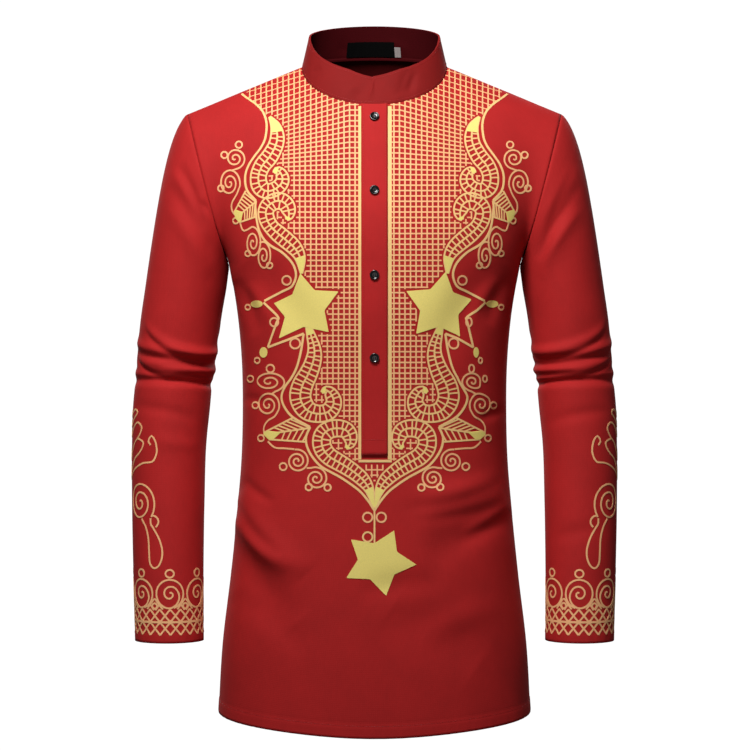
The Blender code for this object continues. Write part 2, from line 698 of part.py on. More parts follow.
# A new primitive goes into the active collection, and only the button's cutters are primitives.
layers = bpy.context.view_layer.layer_collection.children
bpy.context.view_layer.active_layer_collection = layers[CUTTERS.name]

red_cotton = material("red_cotton", (0.42, 0.018, 0.018), 0.8)
black_plastic = material("black_button_plastic", (0.012, 0.012, 0.014), 0.25)
black_label = material("black_label_weave", (0.006, 0.006, 0.006), 0.7)
white_tab = material("white_tab_weave", (0.55, 0.55, 0.55), 0.8)

build_body_and_sleeves(red_cotton)
build_collar(red_cotton)
strip_middle_line = build_placket(red_cotton)
build_buttons(black_plastic, strip_middle_line)
build_labels(black_label, white_tab)
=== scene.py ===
"""The looks of a long mandarin collar shirt: its cloth, seams, stitches, print, buttons and labels.

Metres, +Z up, the front faces -Y and +X is the wearer's left. The origin lies in the middle of the
neck, level with the two points where the shoulder seams meet the collar.
"""

import math
from collections import namedtuple

import bmesh
import bpy
import numpy as np
from mathutils import Matrix, Vector
from mathutils.bvhtree import BVHTree
from mathutils.geometry import delaunay_2d_cdt


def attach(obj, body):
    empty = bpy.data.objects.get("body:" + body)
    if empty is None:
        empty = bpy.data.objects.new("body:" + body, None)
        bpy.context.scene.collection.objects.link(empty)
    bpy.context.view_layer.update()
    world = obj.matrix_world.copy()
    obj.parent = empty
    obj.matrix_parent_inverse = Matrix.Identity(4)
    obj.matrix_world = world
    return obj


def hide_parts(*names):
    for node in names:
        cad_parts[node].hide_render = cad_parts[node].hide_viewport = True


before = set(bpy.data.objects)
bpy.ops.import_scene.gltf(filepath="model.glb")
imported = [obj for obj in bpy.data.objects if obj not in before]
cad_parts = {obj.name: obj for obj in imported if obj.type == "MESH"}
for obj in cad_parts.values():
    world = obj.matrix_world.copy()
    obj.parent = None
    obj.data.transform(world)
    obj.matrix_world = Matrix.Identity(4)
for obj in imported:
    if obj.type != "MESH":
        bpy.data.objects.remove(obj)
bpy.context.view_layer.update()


# Camera
# It stands level with the middle of the shirt and looks straight at its front. One of the photograph's
# 750 pixels is 1.22 mm of a plane through the origin.

PHOTO_WIDTH = 750
PIXEL = 0.00122
CAMERA_DISTANCE = 3.0
CAMERA_PLACE = (0.0006, -CAMERA_DISTANCE, -0.377)
SENSOR_WIDTH = 36.0


def shown(name, data):
    """A new object of the scene with this data."""
    made = bpy.data.objects.new(name, data)
    bpy.context.scene.collection.objects.link(made)
    return made


camera = bpy.data.cameras.new("camera")
camera.sensor_width = SENSOR_WIDTH
camera.lens = SENSOR_WIDTH * CAMERA_DISTANCE / (PHOTO_WIDTH * PIXEL)
camera.clip_end = 50
camera_object = shown("camera", camera)
camera_object.location = CAMERA_PLACE
camera_object.rotation_euler = (math.pi / 2, 0, 0)
bpy.context.scene.camera = camera_object


# Studio
# A white room without an edge, as a catalogue picture has. The camera sees it as plain white, and it
# gives the shirt a weak even light. A soft lamp stands high at the front left, a weak one stands level
# with the shirt, and two behind it light its edges.

LAMPS = (
    # name, place, aim, size, power
    ("key", (-0.30, -1.05, 0.97), (0.0, 0.0, -0.15), 0.6, 30.0),
    ("fill", (-0.3, -2.6, -0.5), (0.0, 0.0, -0.50), 1.6, 4.5),
    ("behind", (0.7, 2.1, 0.8), (0.0, 0.0, -0.30), 1.4, 26.0),
    ("behind_left", (-1.0, 2.0, 0.2), (0.0, 0.0, -0.40), 1.4, 14.0),
)
ROOM_LIGHT = 0.09
WHITE = 1.05
FLOOR_Z = -1.05
FLOOR_SIZE = 30.0

bpy.context.scene.view_settings.view_transform = "Standard"


def node(tree, kind, values=None, links=None, **settings):
    """Adds a node with values and links for its inputs. A linked node stands for its first output."""
    made = tree.nodes.new(kind)
    for name, value in settings.items():
        setattr(made, name, value)
    for name, value in (values or {}).items():
        made.inputs[name].default_value = value
    for name, source in (links or {}).items():
        output = source if isinstance(source, bpy.types.NodeSocket) else source.outputs[0]
        tree.links.new(output, made.inputs[name])
    return made


def new_mesh(name, places, faces, *paints, edges=()):
    mesh = bpy.data.meshes.new(name)
    mesh.from_pydata(np.asarray(places).tolist(), list(edges), faces)
    for paint in paints:
        mesh.materials.append(paint)
    return mesh


def white_to_the_eye(tree, output, shader):
    """White where the camera looks at it straight, and otherwise as bright as the room's light."""
    path = node(tree, "ShaderNodeLightPath")
    strength = node(tree, "ShaderNodeMapRange", {"To Min": ROOM_LIGHT, "To Max": WHITE},
                    {"Value": path.outputs["Is Camera Ray"]})
    shader.inputs["Color"].default_value = (1, 1, 1, 1)
    tree.links.new(strength.outputs["Result"], shader.inputs["Strength"])
    tree.links.new(shader.outputs[0], output.inputs["Surface"])


world = bpy.data.worlds.new("white_room")
world.use_nodes = True
bpy.context.scene.world = world
air = world.node_tree
white_to_the_eye(air, air.nodes["World Output"], air.nodes["Background"])

floor_paint = bpy.data.materials.new("white_floor")
floor_paint.use_nodes = True
glow = floor_paint.node_tree
glow.nodes.clear()
white_to_the_eye(glow, node(glow, "ShaderNodeOutputMaterial"), node(glow, "ShaderNodeEmission"))
floor_corners = [(x * FLOOR_SIZE / 2, y * FLOOR_SIZE / 2, FLOOR_Z)
                 for x, y in ((-1, -1), (1, -1), (1, 1), (-1, 1))]
floor = shown("floor", new_mesh("floor", floor_corners, [(0, 1, 2, 3)], floor_paint))

for name, place, aim, size, power in LAMPS:
    lamp = bpy.data.lights.new(name, "AREA")
    lamp.shape = "DISK"
    lamp.size = size
    lamp.energy = power
    lamp_object = shown(name, lamp)
    lamp_object.location = place
    lamp_object.rotation_euler = (Vector(aim) - Vector(place)).to_track_quat("-Z", "Y").to_euler()


# Red cotton
# A plain-weave cotton blend, dyed red: matt, with a faint sheen at its folds. The threads show as a
# fine grain, and the dye is a little uneven.

RED = "B51F1F"
RED_SHEEN = "E8605A"
RED_REVERSE_PAINTED_SHADE = "450B0D"  # the cloth's inside, a darker red as painted shade, because the inside of the shirt lies in shadow
THREAD = 0.0011  # metres between threads, drawn about three times as coarse as real ones, to show
SLUB_LENGTH = 0.012
MOTTLE_SIZE = 0.045
DYE_SPREAD = 0.10
GRAIN = 0.30


def linear(colour):
    """An sRGB hex colour as linear red, green, blue and alpha."""
    channels = (int(colour[k:k + 2], 16) / 255 for k in (0, 2, 4))
    return tuple(c / 12.92 if c <= 0.04045 else ((c + 0.055) / 1.055) ** 2.4 for c in channels) + (1.0,)


def new_material(name, values):
    """A material, its node tree and its shader, with these values for the shader's inputs."""
    made = bpy.data.materials.new(name)
    made.use_nodes = True
    shader = made.node_tree.nodes["Principled BSDF"]
    for key, value in values.items():
        shader.inputs[key].default_value = value
    return made, made.node_tree, shader


def cloth_material(name, colour, sheen, thread=THREAD, flat=False, shine=0.25):
    """Woven cloth: two crossed sets of threads raise it, and two sizes of noise vary its dye.

    Its threads follow the UV map in metres, or, where flat is true, the piece's own X and Z.
    """
    made, tree, shader = new_material(name, {
        "Roughness": 0.82, "Specular IOR Level": shine, "Sheen Weight": shine / 4, "Sheen Roughness": 0.45,
        "Sheen Tint": linear(sheen)})
    place = node(tree, "ShaderNodeTexCoord")
    if flat:
        apart = node(tree, "ShaderNodeSeparateXYZ", links={"Vector": place.outputs["Object"]})
        threads = node(tree, "ShaderNodeCombineXYZ", links={"X": apart.outputs["X"], "Y": apart.outputs["Z"]})
    else:
        threads = node(tree, "ShaderNodeUVMap", uv_map="cloth")
    waves = [node(tree, "ShaderNodeTexWave", {"Scale": 0.05 * math.pi / thread, "Distortion": 0.6,
                                              "Detail": 1.0, "Detail Scale": 2.0},
                  {"Vector": threads}, bands_direction=axis) for axis in "XY"]
    weave = node(tree, "ShaderNodeMath", links={k: wave.outputs["Fac"] for k, wave in enumerate(waves)},
                 operation="MULTIPLY")
    stretch = node(tree, "ShaderNodeMapping", {"Scale": (1 / THREAD / 3, 1 / SLUB_LENGTH, 1)},
                   {"Vector": threads})
    slub = node(tree, "ShaderNodeTexNoise", {"Scale": 1.0, "Detail": 2.0}, {"Vector": stretch})
    patches = node(tree, "ShaderNodeTexNoise", {"Scale": 1 / MOTTLE_SIZE, "Detail": 3.0, "Roughness": 0.6},
                   {"Vector": place.outputs["Object"]})
    uneven = node(tree, "ShaderNodeMath", {1: 0.35}, {0: slub}, operation="MULTIPLY")
    tone = node(tree, "ShaderNodeMath", links={0: patches, 1: uneven}, operation="ADD")
    value = node(tree, "ShaderNodeMapRange", {"From Min": 0.35, "From Max": 1.0, "To Min": 1 - DYE_SPREAD,
                                              "To Max": 1 + DYE_SPREAD}, {"Value": tone})
    dye = node(tree, "ShaderNodeHueSaturation", {"Color": linear(colour)}, {"Value": value})
    height = node(tree, "ShaderNodeMath", links={0: weave, 1: uneven}, operation="ADD")
    bump = node(tree, "ShaderNodeBump", {"Strength": GRAIN, "Distance": 0.0002}, {"Height": height})
    tree.links.new(dye.outputs["Color"], shader.inputs["Base Color"])
    tree.links.new(bump.outputs["Normal"], shader.inputs["Normal"])
    return made


red_cotton = cloth_material("red_cotton_poplin", RED, RED_SHEEN)
# The inside of the cloth is drawn in a darker red, which is painted shade.
red_reverse_painted_shade = cloth_material("red_cotton_poplin_reverse_painted_shade", RED_REVERSE_PAINTED_SHADE, RED_SHEEN, shine=0.04)


# Front and back
# Two panels of the red cotton, sewn together at the sides and shoulders. The front has a slot for the
# placket. Both hang from the chest, with soft creases where a worn shirt pulls and hangs slack.

CLOTH_SHOWN = 0.0008
SEAM_GAP = 0.0003
ARMPIT_Z = -0.243
HEM_SIDE_Z = -0.783
HEM_DROP = 0.019
HEM_CURVE = 1.3
RING_POWER = 2.5
NECK_HALF_WIDTH = 0.0885
NECK_SIDE_Y = 0.005
FRONT_NECK = (-0.068, -0.054)
BACK_NECK = (0.062, 0.017)
SHOULDER_TIP = np.array((0.229, 0.008, -0.0575))
FRONT_RISE = np.array((0.0, -0.003, 0.075))
FRONT_SCOOP = np.array((0.009, -0.085, 0.028))
BACK_RISE = np.array((0.0, 0.008, 0.080))
BACK_SCOOP = np.array((0.011, 0.090, 0.028))
SCOOP_POWER = 6
SLOT_HALF_WIDTH = 0.0130
SLOT_END_Z = -0.466
CHEST_COLUMNS = 72
SLOT_COLUMNS = 4
LOWER_ROWS = 168
UPPER_ROWS = 64
SEAM_ROLL = 0.0009
SEAM_ROLL_WIDTH = 0.0045
HEM_DEPTH = 0.016
HEM_STEP = 0.0005
TURN_SLOPE = 0.0012
GROOVE_REACH = 0.0016
GROOVE_SHARE = 0.7
PUCKER = 0.00030
PUCKER_LENGTH = 0.011
SIDE_PUCKER_REACH, HEM_PUCKER_REACH = 0.008, 0.018
FOLDS_GROW_OVER, CREASES_GROW_OVER = 0.2, 0.02  # from the side seam, as shares of a half row
FOLDS_FADE_OVER = (1.5, 2.0)  # towards the neck and shoulder seams, as heights

BodySection = namedtuple("BodySection", "z half_width front back")
BODY = [BodySection(*row) for row in (
    (-0.243, 0.1770, 0.122, 0.112),
    (-0.300, 0.1670, 0.122, 0.103),
    (-0.360, 0.1615, 0.118, 0.094),
    (-0.420, 0.1604, 0.115, 0.092),
    (-0.480, 0.1620, 0.116, 0.100),
    (-0.540, 0.1670, 0.120, 0.111),
    (-0.620, 0.1750, 0.125, 0.119),
    (-0.700, 0.1845, 0.128, 0.122),
    (-0.805, 0.1905, 0.130, 0.123),
)]
LeadPoint = namedtuple("LeadPoint", "share x y z")
FRONT_LEAD = [LeadPoint(*row) for row in (
    (0.00, 0.0000, -0.0890, -0.0995),
    (0.25, 0.0665, -0.0780, -0.0820),
    (0.50, 0.1100, -0.0560, -0.0480),
    (0.75, 0.1640, -0.0560, -0.0500),
    (1.00, 0.2200, -0.0600, -0.0860),
)]
BACK_LEAD = [LeadPoint(*row) for row in (
    (0.00, 0.0000, 0.0970, -0.0330),
    (0.25, 0.0660, 0.0860, -0.0230),
    (0.50, 0.1120, 0.0660, -0.0130),
    (0.75, 0.1640, 0.0660, -0.0380),
    (1.00, 0.2220, 0.0740, -0.0880),
)]
# Each crease, in millimetres: where it starts and ends, across and up, how far it bows to the side, its
# half width and its height, which is less than zero for a trough.
FRONT_FOLDS = (
    (-165, -520, -80, -610, -12, 18, 7), (-170, -565, -90, -665, -10, 20, -6),
    (155, -515, 45, -550, -10, 18, 4.5), (170, -550, 60, -600, -12, 20, -4),
    (-155, -245, -70, -350, 10, 24, -4), (155, -245, 75, -360, -10, 24, -4.5),
    (20, -650, 120, -720, 10, 30, -4.5),
)
BACK_FOLDS = (
    (-135, -385, 30, -425, -10, 22, 6.5), (-30, -460, 140, -420, 10, 24, -6),
    (150, -245, 60, -360, -12, 24, -5), (-150, -245, -70, -350, 12, 24, -5),
    (-100, -560, -60, -750, 8, 26, -5.5), (85, -580, 60, -760, -8, 26, -5),
)
FRONT_CREASES = (
    (40, -520, 150, -494, -5, 10, 1.8), (28, -534, 152, -505, -7, 8.5, -2.1),
    (38, -547, 155, -530, -4, 7.5, -1.7), (105, -562, 162, -531, -1, 6, 1.7),
    (95, -576, 166, -544, -3, 8, -2), (-20, -632, 85, -620, 4, 15, -2.6),
    (50, -690, 150, -650, 6, 16, 2.4), (-164, -530, -108, -590, -6, 8, -4),
    (-166, -548, -100, -606, -6, 9.5, 3.2), (-158, -500, -118, -528, -3, 6, -2.2),
    (-170, -640, -80, -700, 6, 16, -2.6), (-166, -262, -140, -330, 3, 8, -3.4),
    (-150, -268, -122, -322, 4, 7, 2), (164, -258, 136, -318, -4, 8, -3.4),
    (148, -262, 112, -325, -5, 8, 2.2), (-158, -405, -128, -412, 2, 6, -1.8),
    (158, -420, 122, -432, -2, 6, -2),
)
BACK_CREASES = (
    (-150, -395, -70, -425, 6, 8, 3), (-152, -412, -60, -440, 6, 8, -3.6),
    (152, -430, 60, -462, -6, 8.5, -3.6), (154, -448, 85, -480, -5, 8, 2.8),
    (165, -540, 100, -600, 5, 9, -3.4), (-162, -520, -110, -565, -4, 8, -3.2),
    (-160, -262, -126, -330, 4, 8.5, -3.4), (160, -260, 130, -322, -4, 8.5, -3.4),
    (-110, -120, -40, -150, -4, 12, 2), (115, -130, 30, -165, 5, 12, -2),
)


def along(table, column, place):
    """One column of a table at places along its first column, on a smooth curve through its rows."""
    keys = np.array([row[0] for row in table], float)
    values = np.array([getattr(row, column) for row in table], float)
    slopes = np.gradient(values, keys)
    if keys[0] > keys[-1]:
        keys, values, slopes = keys[::-1], values[::-1], slopes[::-1]
    i = np.clip(np.searchsorted(keys, place) - 1, 0, len(keys) - 2)
    step = keys[i + 1] - keys[i]
    t = np.clip((place - keys[i]) / step, 0, 1)
    return (
        (2 * t ** 3 - 3 * t ** 2 + 1) * values[i]
        + (t ** 3 - 2 * t ** 2 + t) * step * slopes[i]
        + (3 * t ** 2 - 2 * t ** 3) * values[i + 1]
        + (t ** 3 - t ** 2) * step * slopes[i + 1]
    )


def points(x, y, z):
    return np.stack(np.broadcast_arrays(x, y, z), axis=-1)


def bezier(a, b, c, d, share):
    """Points on cubic curves with these four control points."""
    share = np.asarray(share)[..., None]
    rest = 1 - share
    return a * rest ** 3 + 3 * b * share * rest ** 2 + 3 * c * share ** 2 * rest + d * share ** 3


def smooth_step(low, high, value):
    share = np.clip((value - low) / (high - low), 0, 1)
    return share * share * (3 - 2 * share)


def body_ring(side, angle, z):
    """The body's oval section: angle 0 is the centre, 90 degrees the side seam."""
    half_width = along(BODY, "half_width", z)
    depth = along(BODY, "front" if side < 0 else "back", z)
    c, s = abs(np.cos(angle)), abs(np.sin(angle))
    reach = ((c / depth) ** RING_POWER + (s / half_width) ** RING_POWER) ** (-1 / RING_POWER)
    return points(reach * s, side * reach * c, z)


def neck_point(side, turn):
    """The neck seam: turn 0 is the centre front or back, 90 degrees the shoulder seam."""
    y, z = FRONT_NECK if side < 0 else BACK_NECK
    c = np.cos(turn)
    return points(NECK_HALF_WIDTH * np.sin(turn), NECK_SIDE_Y + (y - NECK_SIDE_Y) * c, z * c)


def body_point(side, share, height):
    """Points of the front (side -1) or back (side 1), on the half at +X.

    share goes from 0 at the centre to 1 at the side seam or armhole. height goes from 0 at the hem
    to 1 at the armpit and 2 at the neck and shoulder seams.
    """
    share, height = np.broadcast_arrays(np.asarray(share, float), np.asarray(height, float))
    angle = share * math.pi / 2
    hem_z = HEM_SIDE_Z - HEM_DROP * np.cos(angle) ** HEM_CURVE
    low = body_ring(side, angle, hem_z + np.minimum(height, 1) * (ARMPIT_Z - hem_z))
    chest = body_ring(side, angle, np.full_like(share, ARMPIT_Z))
    outwards = SHOULDER_TIP - neck_point(side, math.pi / 2)
    top = neck_point(side, math.pi * np.minimum(share, 0.5))
    top = top + outwards * np.maximum(share - 0.5, 0)[..., None] * 2
    rise, scoop = (FRONT_RISE, FRONT_SCOOP) if side < 0 else (BACK_RISE, BACK_SCOOP)
    start = rise + (scoop - rise) * share[..., None] ** SCOOP_POWER
    leads = FRONT_LEAD if side < 0 else BACK_LEAD
    lead = points(*(along(leads, column, share) for column in ("x", "y", "z")))
    high = bezier(chest, chest + start, lead, top, np.maximum(height - 1, 0))
    return np.where(height[..., None] <= 1, low, high)


def share_at(side, height, x):
    """The shares at which a row of the body passes distances from the centre."""
    shares = np.linspace(0, 0.4, 81)
    return np.interp(x, body_point(side, shares, height)[:, 0], shares)


def height_at(side, z):
    """The height at which the centre of a panel passes a level."""
    heights = np.linspace(0, 2, 401)
    return float(np.interp(z, body_point(side, 0, heights)[:, 2], heights))


def crease_height(creases, across, z, unit=0.001):
    """How far the creases together move the cloth out. Their places across count in this many metres."""
    total = np.zeros_like(z)
    for x0, z0, x1, z1, *sizes in creases:
        bow, half_width, height = np.array(sizes) * 0.001
        start = np.array((x0 * unit, z0 * 0.001))
        run = np.array((x1 * unit, z1 * 0.001)) - start
        length = np.hypot(*run)
        run = run / length
        dx, dz = across - start[0], z - start[1]
        share = np.clip((dx * run[0] + dz * run[1]) / length, 0, 1)
        off = dz * run[0] - dx * run[1] - bow * 4 * share * (1 - share)
        total += height * np.exp(-((off / half_width) ** 2)) * np.sin(np.pi * share) ** 0.8
    return total


def grid_normals(grid, outwards, closed=False):
    """The outward direction at each point of a grid of rows and columns."""
    if closed:
        ring = np.concatenate([grid[:, -1:], grid, grid[:, :1]], axis=1)
        across = ring[:, 2:] - ring[:, :-2]
    else:
        across = np.gradient(grid, axis=1)
    normal = np.cross(across, np.gradient(grid, axis=0)) * outwards
    return normal / np.linalg.norm(normal, axis=2, keepdims=True)


def travelled(grid, axis, closed=False):
    """How far each point lies from the first one, along its row (axis 1) or column (axis 0)."""
    if closed:
        grid = np.concatenate([grid, grid[:, :1]], axis=1)
    step = np.linalg.norm(np.diff(grid, axis=axis), axis=2)
    first = np.zeros_like(np.take(step, [0], axis=axis))
    return np.concatenate([first, np.cumsum(step, axis=axis)], axis=axis)


def pucker(along_seam, seed):
    """Small waves along a sewn edge, uneven in length and height, from -1 to 1."""
    rng = np.random.default_rng(seed)
    wave = np.zeros_like(along_seam)
    for stretch, weight in ((1.0, 0.5), (1.7, 0.3), (2.9, 0.2)):
        wave += weight * np.sin(2 * np.pi * along_seam / PUCKER_LENGTH / stretch + rng.uniform(0, 6.28))
    return wave


def near(distance, reach):
    """A weight that falls from 1 at a line to nearly nothing at twice the reach from it."""
    return np.exp(-((distance / reach) ** 2))


def turned_edge(distance, depth):
    """How far an edge that is turned in and stitched stands out, with a groove along the stitches."""
    turned = 1 - smooth_step(depth - TURN_SLOPE, depth + TURN_SLOPE, distance)
    return (turned - near(distance - depth, GROOVE_REACH) * GROOVE_SHARE) * HEM_STEP


def panel_columns(side, height):
    """The shares of one row from the centre out, with the front's slot edge on one of them."""
    if side > 0:
        return np.linspace(0, 1, CHEST_COLUMNS + SLOT_COLUMNS + 1)
    inner = share_at(side, height, np.linspace(0, SLOT_HALF_WIDTH, SLOT_COLUMNS + 1))
    return np.concatenate([inner, np.linspace(inner[-1], 1, CHEST_COLUMNS + 1)[1:]])


def panel_heights():
    lower = np.linspace(0, 1, LOWER_ROWS + 1)
    slot_height = height_at(-1, SLOT_END_Z)
    lower[np.argmin(abs(lower - slot_height))] = slot_height
    return np.concatenate([lower, np.linspace(1, 2, UPPER_ROWS + 1)[1:]]), slot_height


def panel_grid(side, folds, creases):
    """A panel's outer face, from the hem up and from the side seam at -X to the one at +X."""
    heights, _ = panel_heights()
    shares = np.array([panel_columns(side, height) for height in heights])
    half = body_point(side, shares, heights[:, None])
    grid = np.concatenate([half[:, :0:-1] * (-1, 1, 1), half], axis=1)
    from_side = 1 - np.concatenate([shares[:, :0:-1], shares], axis=1)
    normals = grid_normals(grid, -side)
    fade = smooth_step(0, FOLDS_GROW_OVER, from_side)
    fade = fade * (1 - smooth_step(*FOLDS_FADE_OVER, heights))[:, None]
    grown = smooth_step(0, CREASES_GROW_OVER, from_side)
    lift = crease_height(folds, grid[..., 0], grid[..., 2]) * fade
    lift += crease_height(creases, grid[..., 0], grid[..., 2]) * grown
    grid = grid + normals * lift[..., None]
    across, up = travelled(grid, 1), travelled(grid, 0)
    to_side = np.minimum(across, across[:, -1:] - across)
    to_top = up[-1:] - up
    roll = np.maximum(0, 1 - np.minimum(to_side, to_top) / SEAM_ROLL_WIDTH) ** 2 * SEAM_ROLL
    wave = pucker(up, 11 + side) * near(to_side, SIDE_PUCKER_REACH)
    wave = wave + pucker(across, 21 + side) * near(up, HEM_PUCKER_REACH)
    normals = grid_normals(grid, -side)
    return grid + normals * (wave * PUCKER + turned_edge(up, HEM_DEPTH) - roll)[..., None]


def cloth_shell(name, grid, thickness, cloth, closed=False, left_out=None, outwards=1, reverse=None):
    """A panel of cloth on a grid: its outer face with a UV map in metres, thickened inwards."""
    rows, columns = grid.shape[:2]
    i, j = np.meshgrid(np.arange(rows - 1), np.arange(columns if closed else columns - 1), indexing="ij")
    keep = np.ones(i.shape, bool) if left_out is None else ~left_out
    i, j = i[keep], j[keep]
    k = (j + 1) % columns
    low, high = i * columns, (i + 1) * columns
    cells = np.stack([low + j, low + k, high + k, high + j], axis=1)
    corners = np.stack([i, j, i, j + 1, i + 1, j + 1, i + 1, j], axis=1).reshape(-1, 4, 2)
    if outwards < 0:
        cells, corners = cells[:, ::-1], corners[:, ::-1]
    used, cells = np.unique(cells, return_inverse=True)
    mesh = new_mesh(name, grid.reshape(-1, 3)[used], cells.reshape(-1, 4).tolist(), cloth,
                    reverse or red_reverse_painted_shade)
    across, up = travelled(grid, 1, closed), travelled(grid, 0)[:, columns // 2]
    u = across[corners[..., 0], corners[..., 1]] - across[:, -1].mean() / 2
    v = up[corners[..., 0]]
    layer = mesh.uv_layers.new(name="cloth")
    layer.data.foreach_set("uv", np.stack([u, v], axis=-1).reshape(-1))
    mesh.shade_smooth()
    shell = shown(name, mesh)
    thick = shell.modifiers.new("cloth_thickness", "SOLIDIFY")
    thick.thickness = thickness
    thick.offset = -1
    # The inner faces take the second material, which is painted shade.
    thick.material_offset = 1
    return shell


front_grid = panel_grid(-1, FRONT_FOLDS, FRONT_CREASES)
back_grid = panel_grid(1, BACK_FOLDS, BACK_CREASES)
heights, slot_height = panel_heights()
slot = np.zeros((front_grid.shape[0] - 1, front_grid.shape[1] - 1), bool)
slot_columns = slice(CHEST_COLUMNS, CHEST_COLUMNS + 2 * SLOT_COLUMNS)
slot[int(np.argmin(abs(heights - slot_height))):, slot_columns] = True

front = cloth_shell("front_panel", front_grid, CLOTH_SHOWN, red_cotton, left_out=slot)
back = cloth_shell("back_panel", back_grid, CLOTH_SHOWN, red_cotton, outwards=-1)
for panel, replaced in ((front, "front_body"), (back, "back_body")):
    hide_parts(replaced)
    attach(panel, "root")


# Sleeves
# Each is one piece of the red cotton with a cap, set into the armhole, and hangs down at the side with
# its cuff turned and stitched. Creases lie across the elbow, and others run down from the shoulder.

CAP_END_Z = -0.272
CUFF_Z = -0.6955
ELBOW_TOP_Z = -0.320
ELBOW_END_Z = -0.405
FOLD_ARC = math.radians(0.050)  # metres for each degree round a sleeve
CAP_SPREAD_UNDER = 0.10
CAP_SPREAD_OVER = 0.62
CAP_SPREAD_DEPTH = 0.12
CAP_LIFT = 0.30
CAP_TUBE_LEAN = 0.14
CAP_START_REACH = 0.15
CAP_END_REACH = 0.55
HALF_ARMHOLE = 54
CAP_ROWS = 50
UPPER_TUBE_ROWS = 14
ELBOW_ROWS = 44
FOREARM_ROWS = 84
CUFF_DEPTH = 0.014
CAP_PUCKER_REACH, CUFF_PUCKER_REACH = 0.010, 0.016
FOLDS_GROW_OVER_CAP = 0.3  # from the armhole, as a share of the cap's rows
SIGNS = {"left": 1, "right": -1}  # each sleeve's side of the shirt, as the sign of its X

SleeveSection = namedtuple("SleeveSection", "z middle_x half_width middle_y half_depth")
SLEEVE = [SleeveSection(*row) for row in (
    (-0.272, 0.2305, 0.0495, 0.003, 0.0560),
    (-0.308, 0.2361, 0.0490, 0.002, 0.0550),
    (-0.345, 0.2400, 0.0486, 0.001, 0.0530),
    (-0.382, 0.2443, 0.0470, -0.001, 0.0510),
    (-0.418, 0.2474, 0.0468, -0.004, 0.0500),
    (-0.455, 0.2495, 0.0453, -0.008, 0.0490),
    (-0.528, 0.2500, 0.0439, -0.018, 0.0470),
    (-0.602, 0.2490, 0.0425, -0.029, 0.0450),
    (-0.700, 0.2465, 0.0407, -0.043, 0.0430),
)]
# Across, a sleeve's creases count in degrees: 0 is its outer side, 90 the front, 180 next to the body.
ELBOW_FOLDS = (
    (-10, -334, 185, -352, -6, 7, 4), (0, -344, 200, -362, -7, 5, -3.6), (20, -357, 230, -369, -4, 6, 3.4),
    (-10, -366, 150, -378, -3, 5, -3.2), (-20, -372, 210, -381, 2, 6, 2.8),
    (-20, -384, 220, -390, 2, 5, -3.4), (170, -335, 330, -350, 4, 8, -5),
    (190, -372, 320, -360, 3, 8, -4.5),
)
CAP_FOLDS = (
    (30, -125, 118, -222, 6, 9, 2.6), (38, -145, 130, -240, 6, 8, -2.8), (42, -172, 125, -262, 6, 9, 2.2),
    (235, -215, 320, -130, 6, 12, -5),
)
LEFT_CREASES = (
    (38, -128, 112, -215, 4, 5.5, -2), (58, -168, 124, -238, 4, 5, -2.2),
    (50, -178, 118, -248, 4, 4.5, 1.4), (30, -322, 190, -350, -18, 3.6, -3),
    (28, -312, 185, -343, -16, 5.5, 3.4), (8, -352, 84, -377, -3, 3.2, -3),
    (66, -362, 200, -364, -2, 3.8, -3.4), (90, -373, 205, -378, -1, 3.6, -3.4),
    (6, -380, 200, -391, 3, 3.4, -3.6), (200, -350, 300, -338, 4, 5, -3.6),
    (215, -378, 330, -368, 3, 5, 3), (40, -420, 150, -436, 4, 7, -1.8), (60, -560, 150, -575, 3, 9, -1.6),
)
RIGHT_CREASES = (
    (40, -122, 108, -205, 5, 5.5, -3.6), (92, -170, 132, -196, 3, 4.5, -3.2),
    (88, -160, 130, -186, 3, 5, 2.6), (35, -320, 185, -354, -20, 3.6, -3.2),
    (32, -311, 182, -347, -18, 5.5, 3.6), (12, -355, 80, -379, -3, 3.2, -3.2),
    (70, -363.5, 190, -366, -1, 3.8, -3.6), (94, -376, 192, -379, -1, 3.6, -3.4),
    (9, -380, 190, -391, 2, 3.4, -3.8), (195, -345, 310, -335, 4, 5, -3.4),
    (205, -380, 320, -372, 3, 5, 3), (20, -415, 140, -432, 5, 7, -1.8), (60, -450, 150, -462, -3, 8, 1.4),
)


def armhole():
    """The armhole at +X as a ring: from the shoulder tip down the front, and up the back."""
    levels = np.linspace(2, 1, HALF_ARMHOLE + 1)
    return np.concatenate([body_point(-1, 1, levels), body_point(1, 1, levels[::-1])[1:-1]])


def sleeve_ring(turn, z):
    """The sleeve's oval section: turn 0 is the outer side, 90 degrees the front."""
    middle_x, half_width, middle_y, half_depth = (along(SLEEVE, c, z) for c in SleeveSection._fields[1:])
    return points(middle_x + half_width * np.cos(turn), middle_y - half_depth * np.sin(turn), z)


def cap_points(start, turn, share):
    """The cap: it leaves the armhole outwards and bends over into the tube."""
    outer = (1 + np.cos(turn)) / 2
    end = sleeve_ring(turn, np.full_like(turn, CAP_END_Z))
    reach = np.linalg.norm(end - start, axis=1, keepdims=True)
    leave = points(CAP_SPREAD_UNDER + CAP_SPREAD_OVER * outer, -CAP_SPREAD_DEPTH * np.sin(turn),
                   CAP_LIFT * outer - 1)
    leave = leave / np.linalg.norm(leave, axis=1, keepdims=True) * CAP_START_REACH * reach
    arrive = np.array((CAP_TUBE_LEAN, 0.0, -1.0))
    arrive = arrive / np.linalg.norm(arrive) * CAP_END_REACH * reach
    return bezier(start, start + leave, end - arrive, end, share)


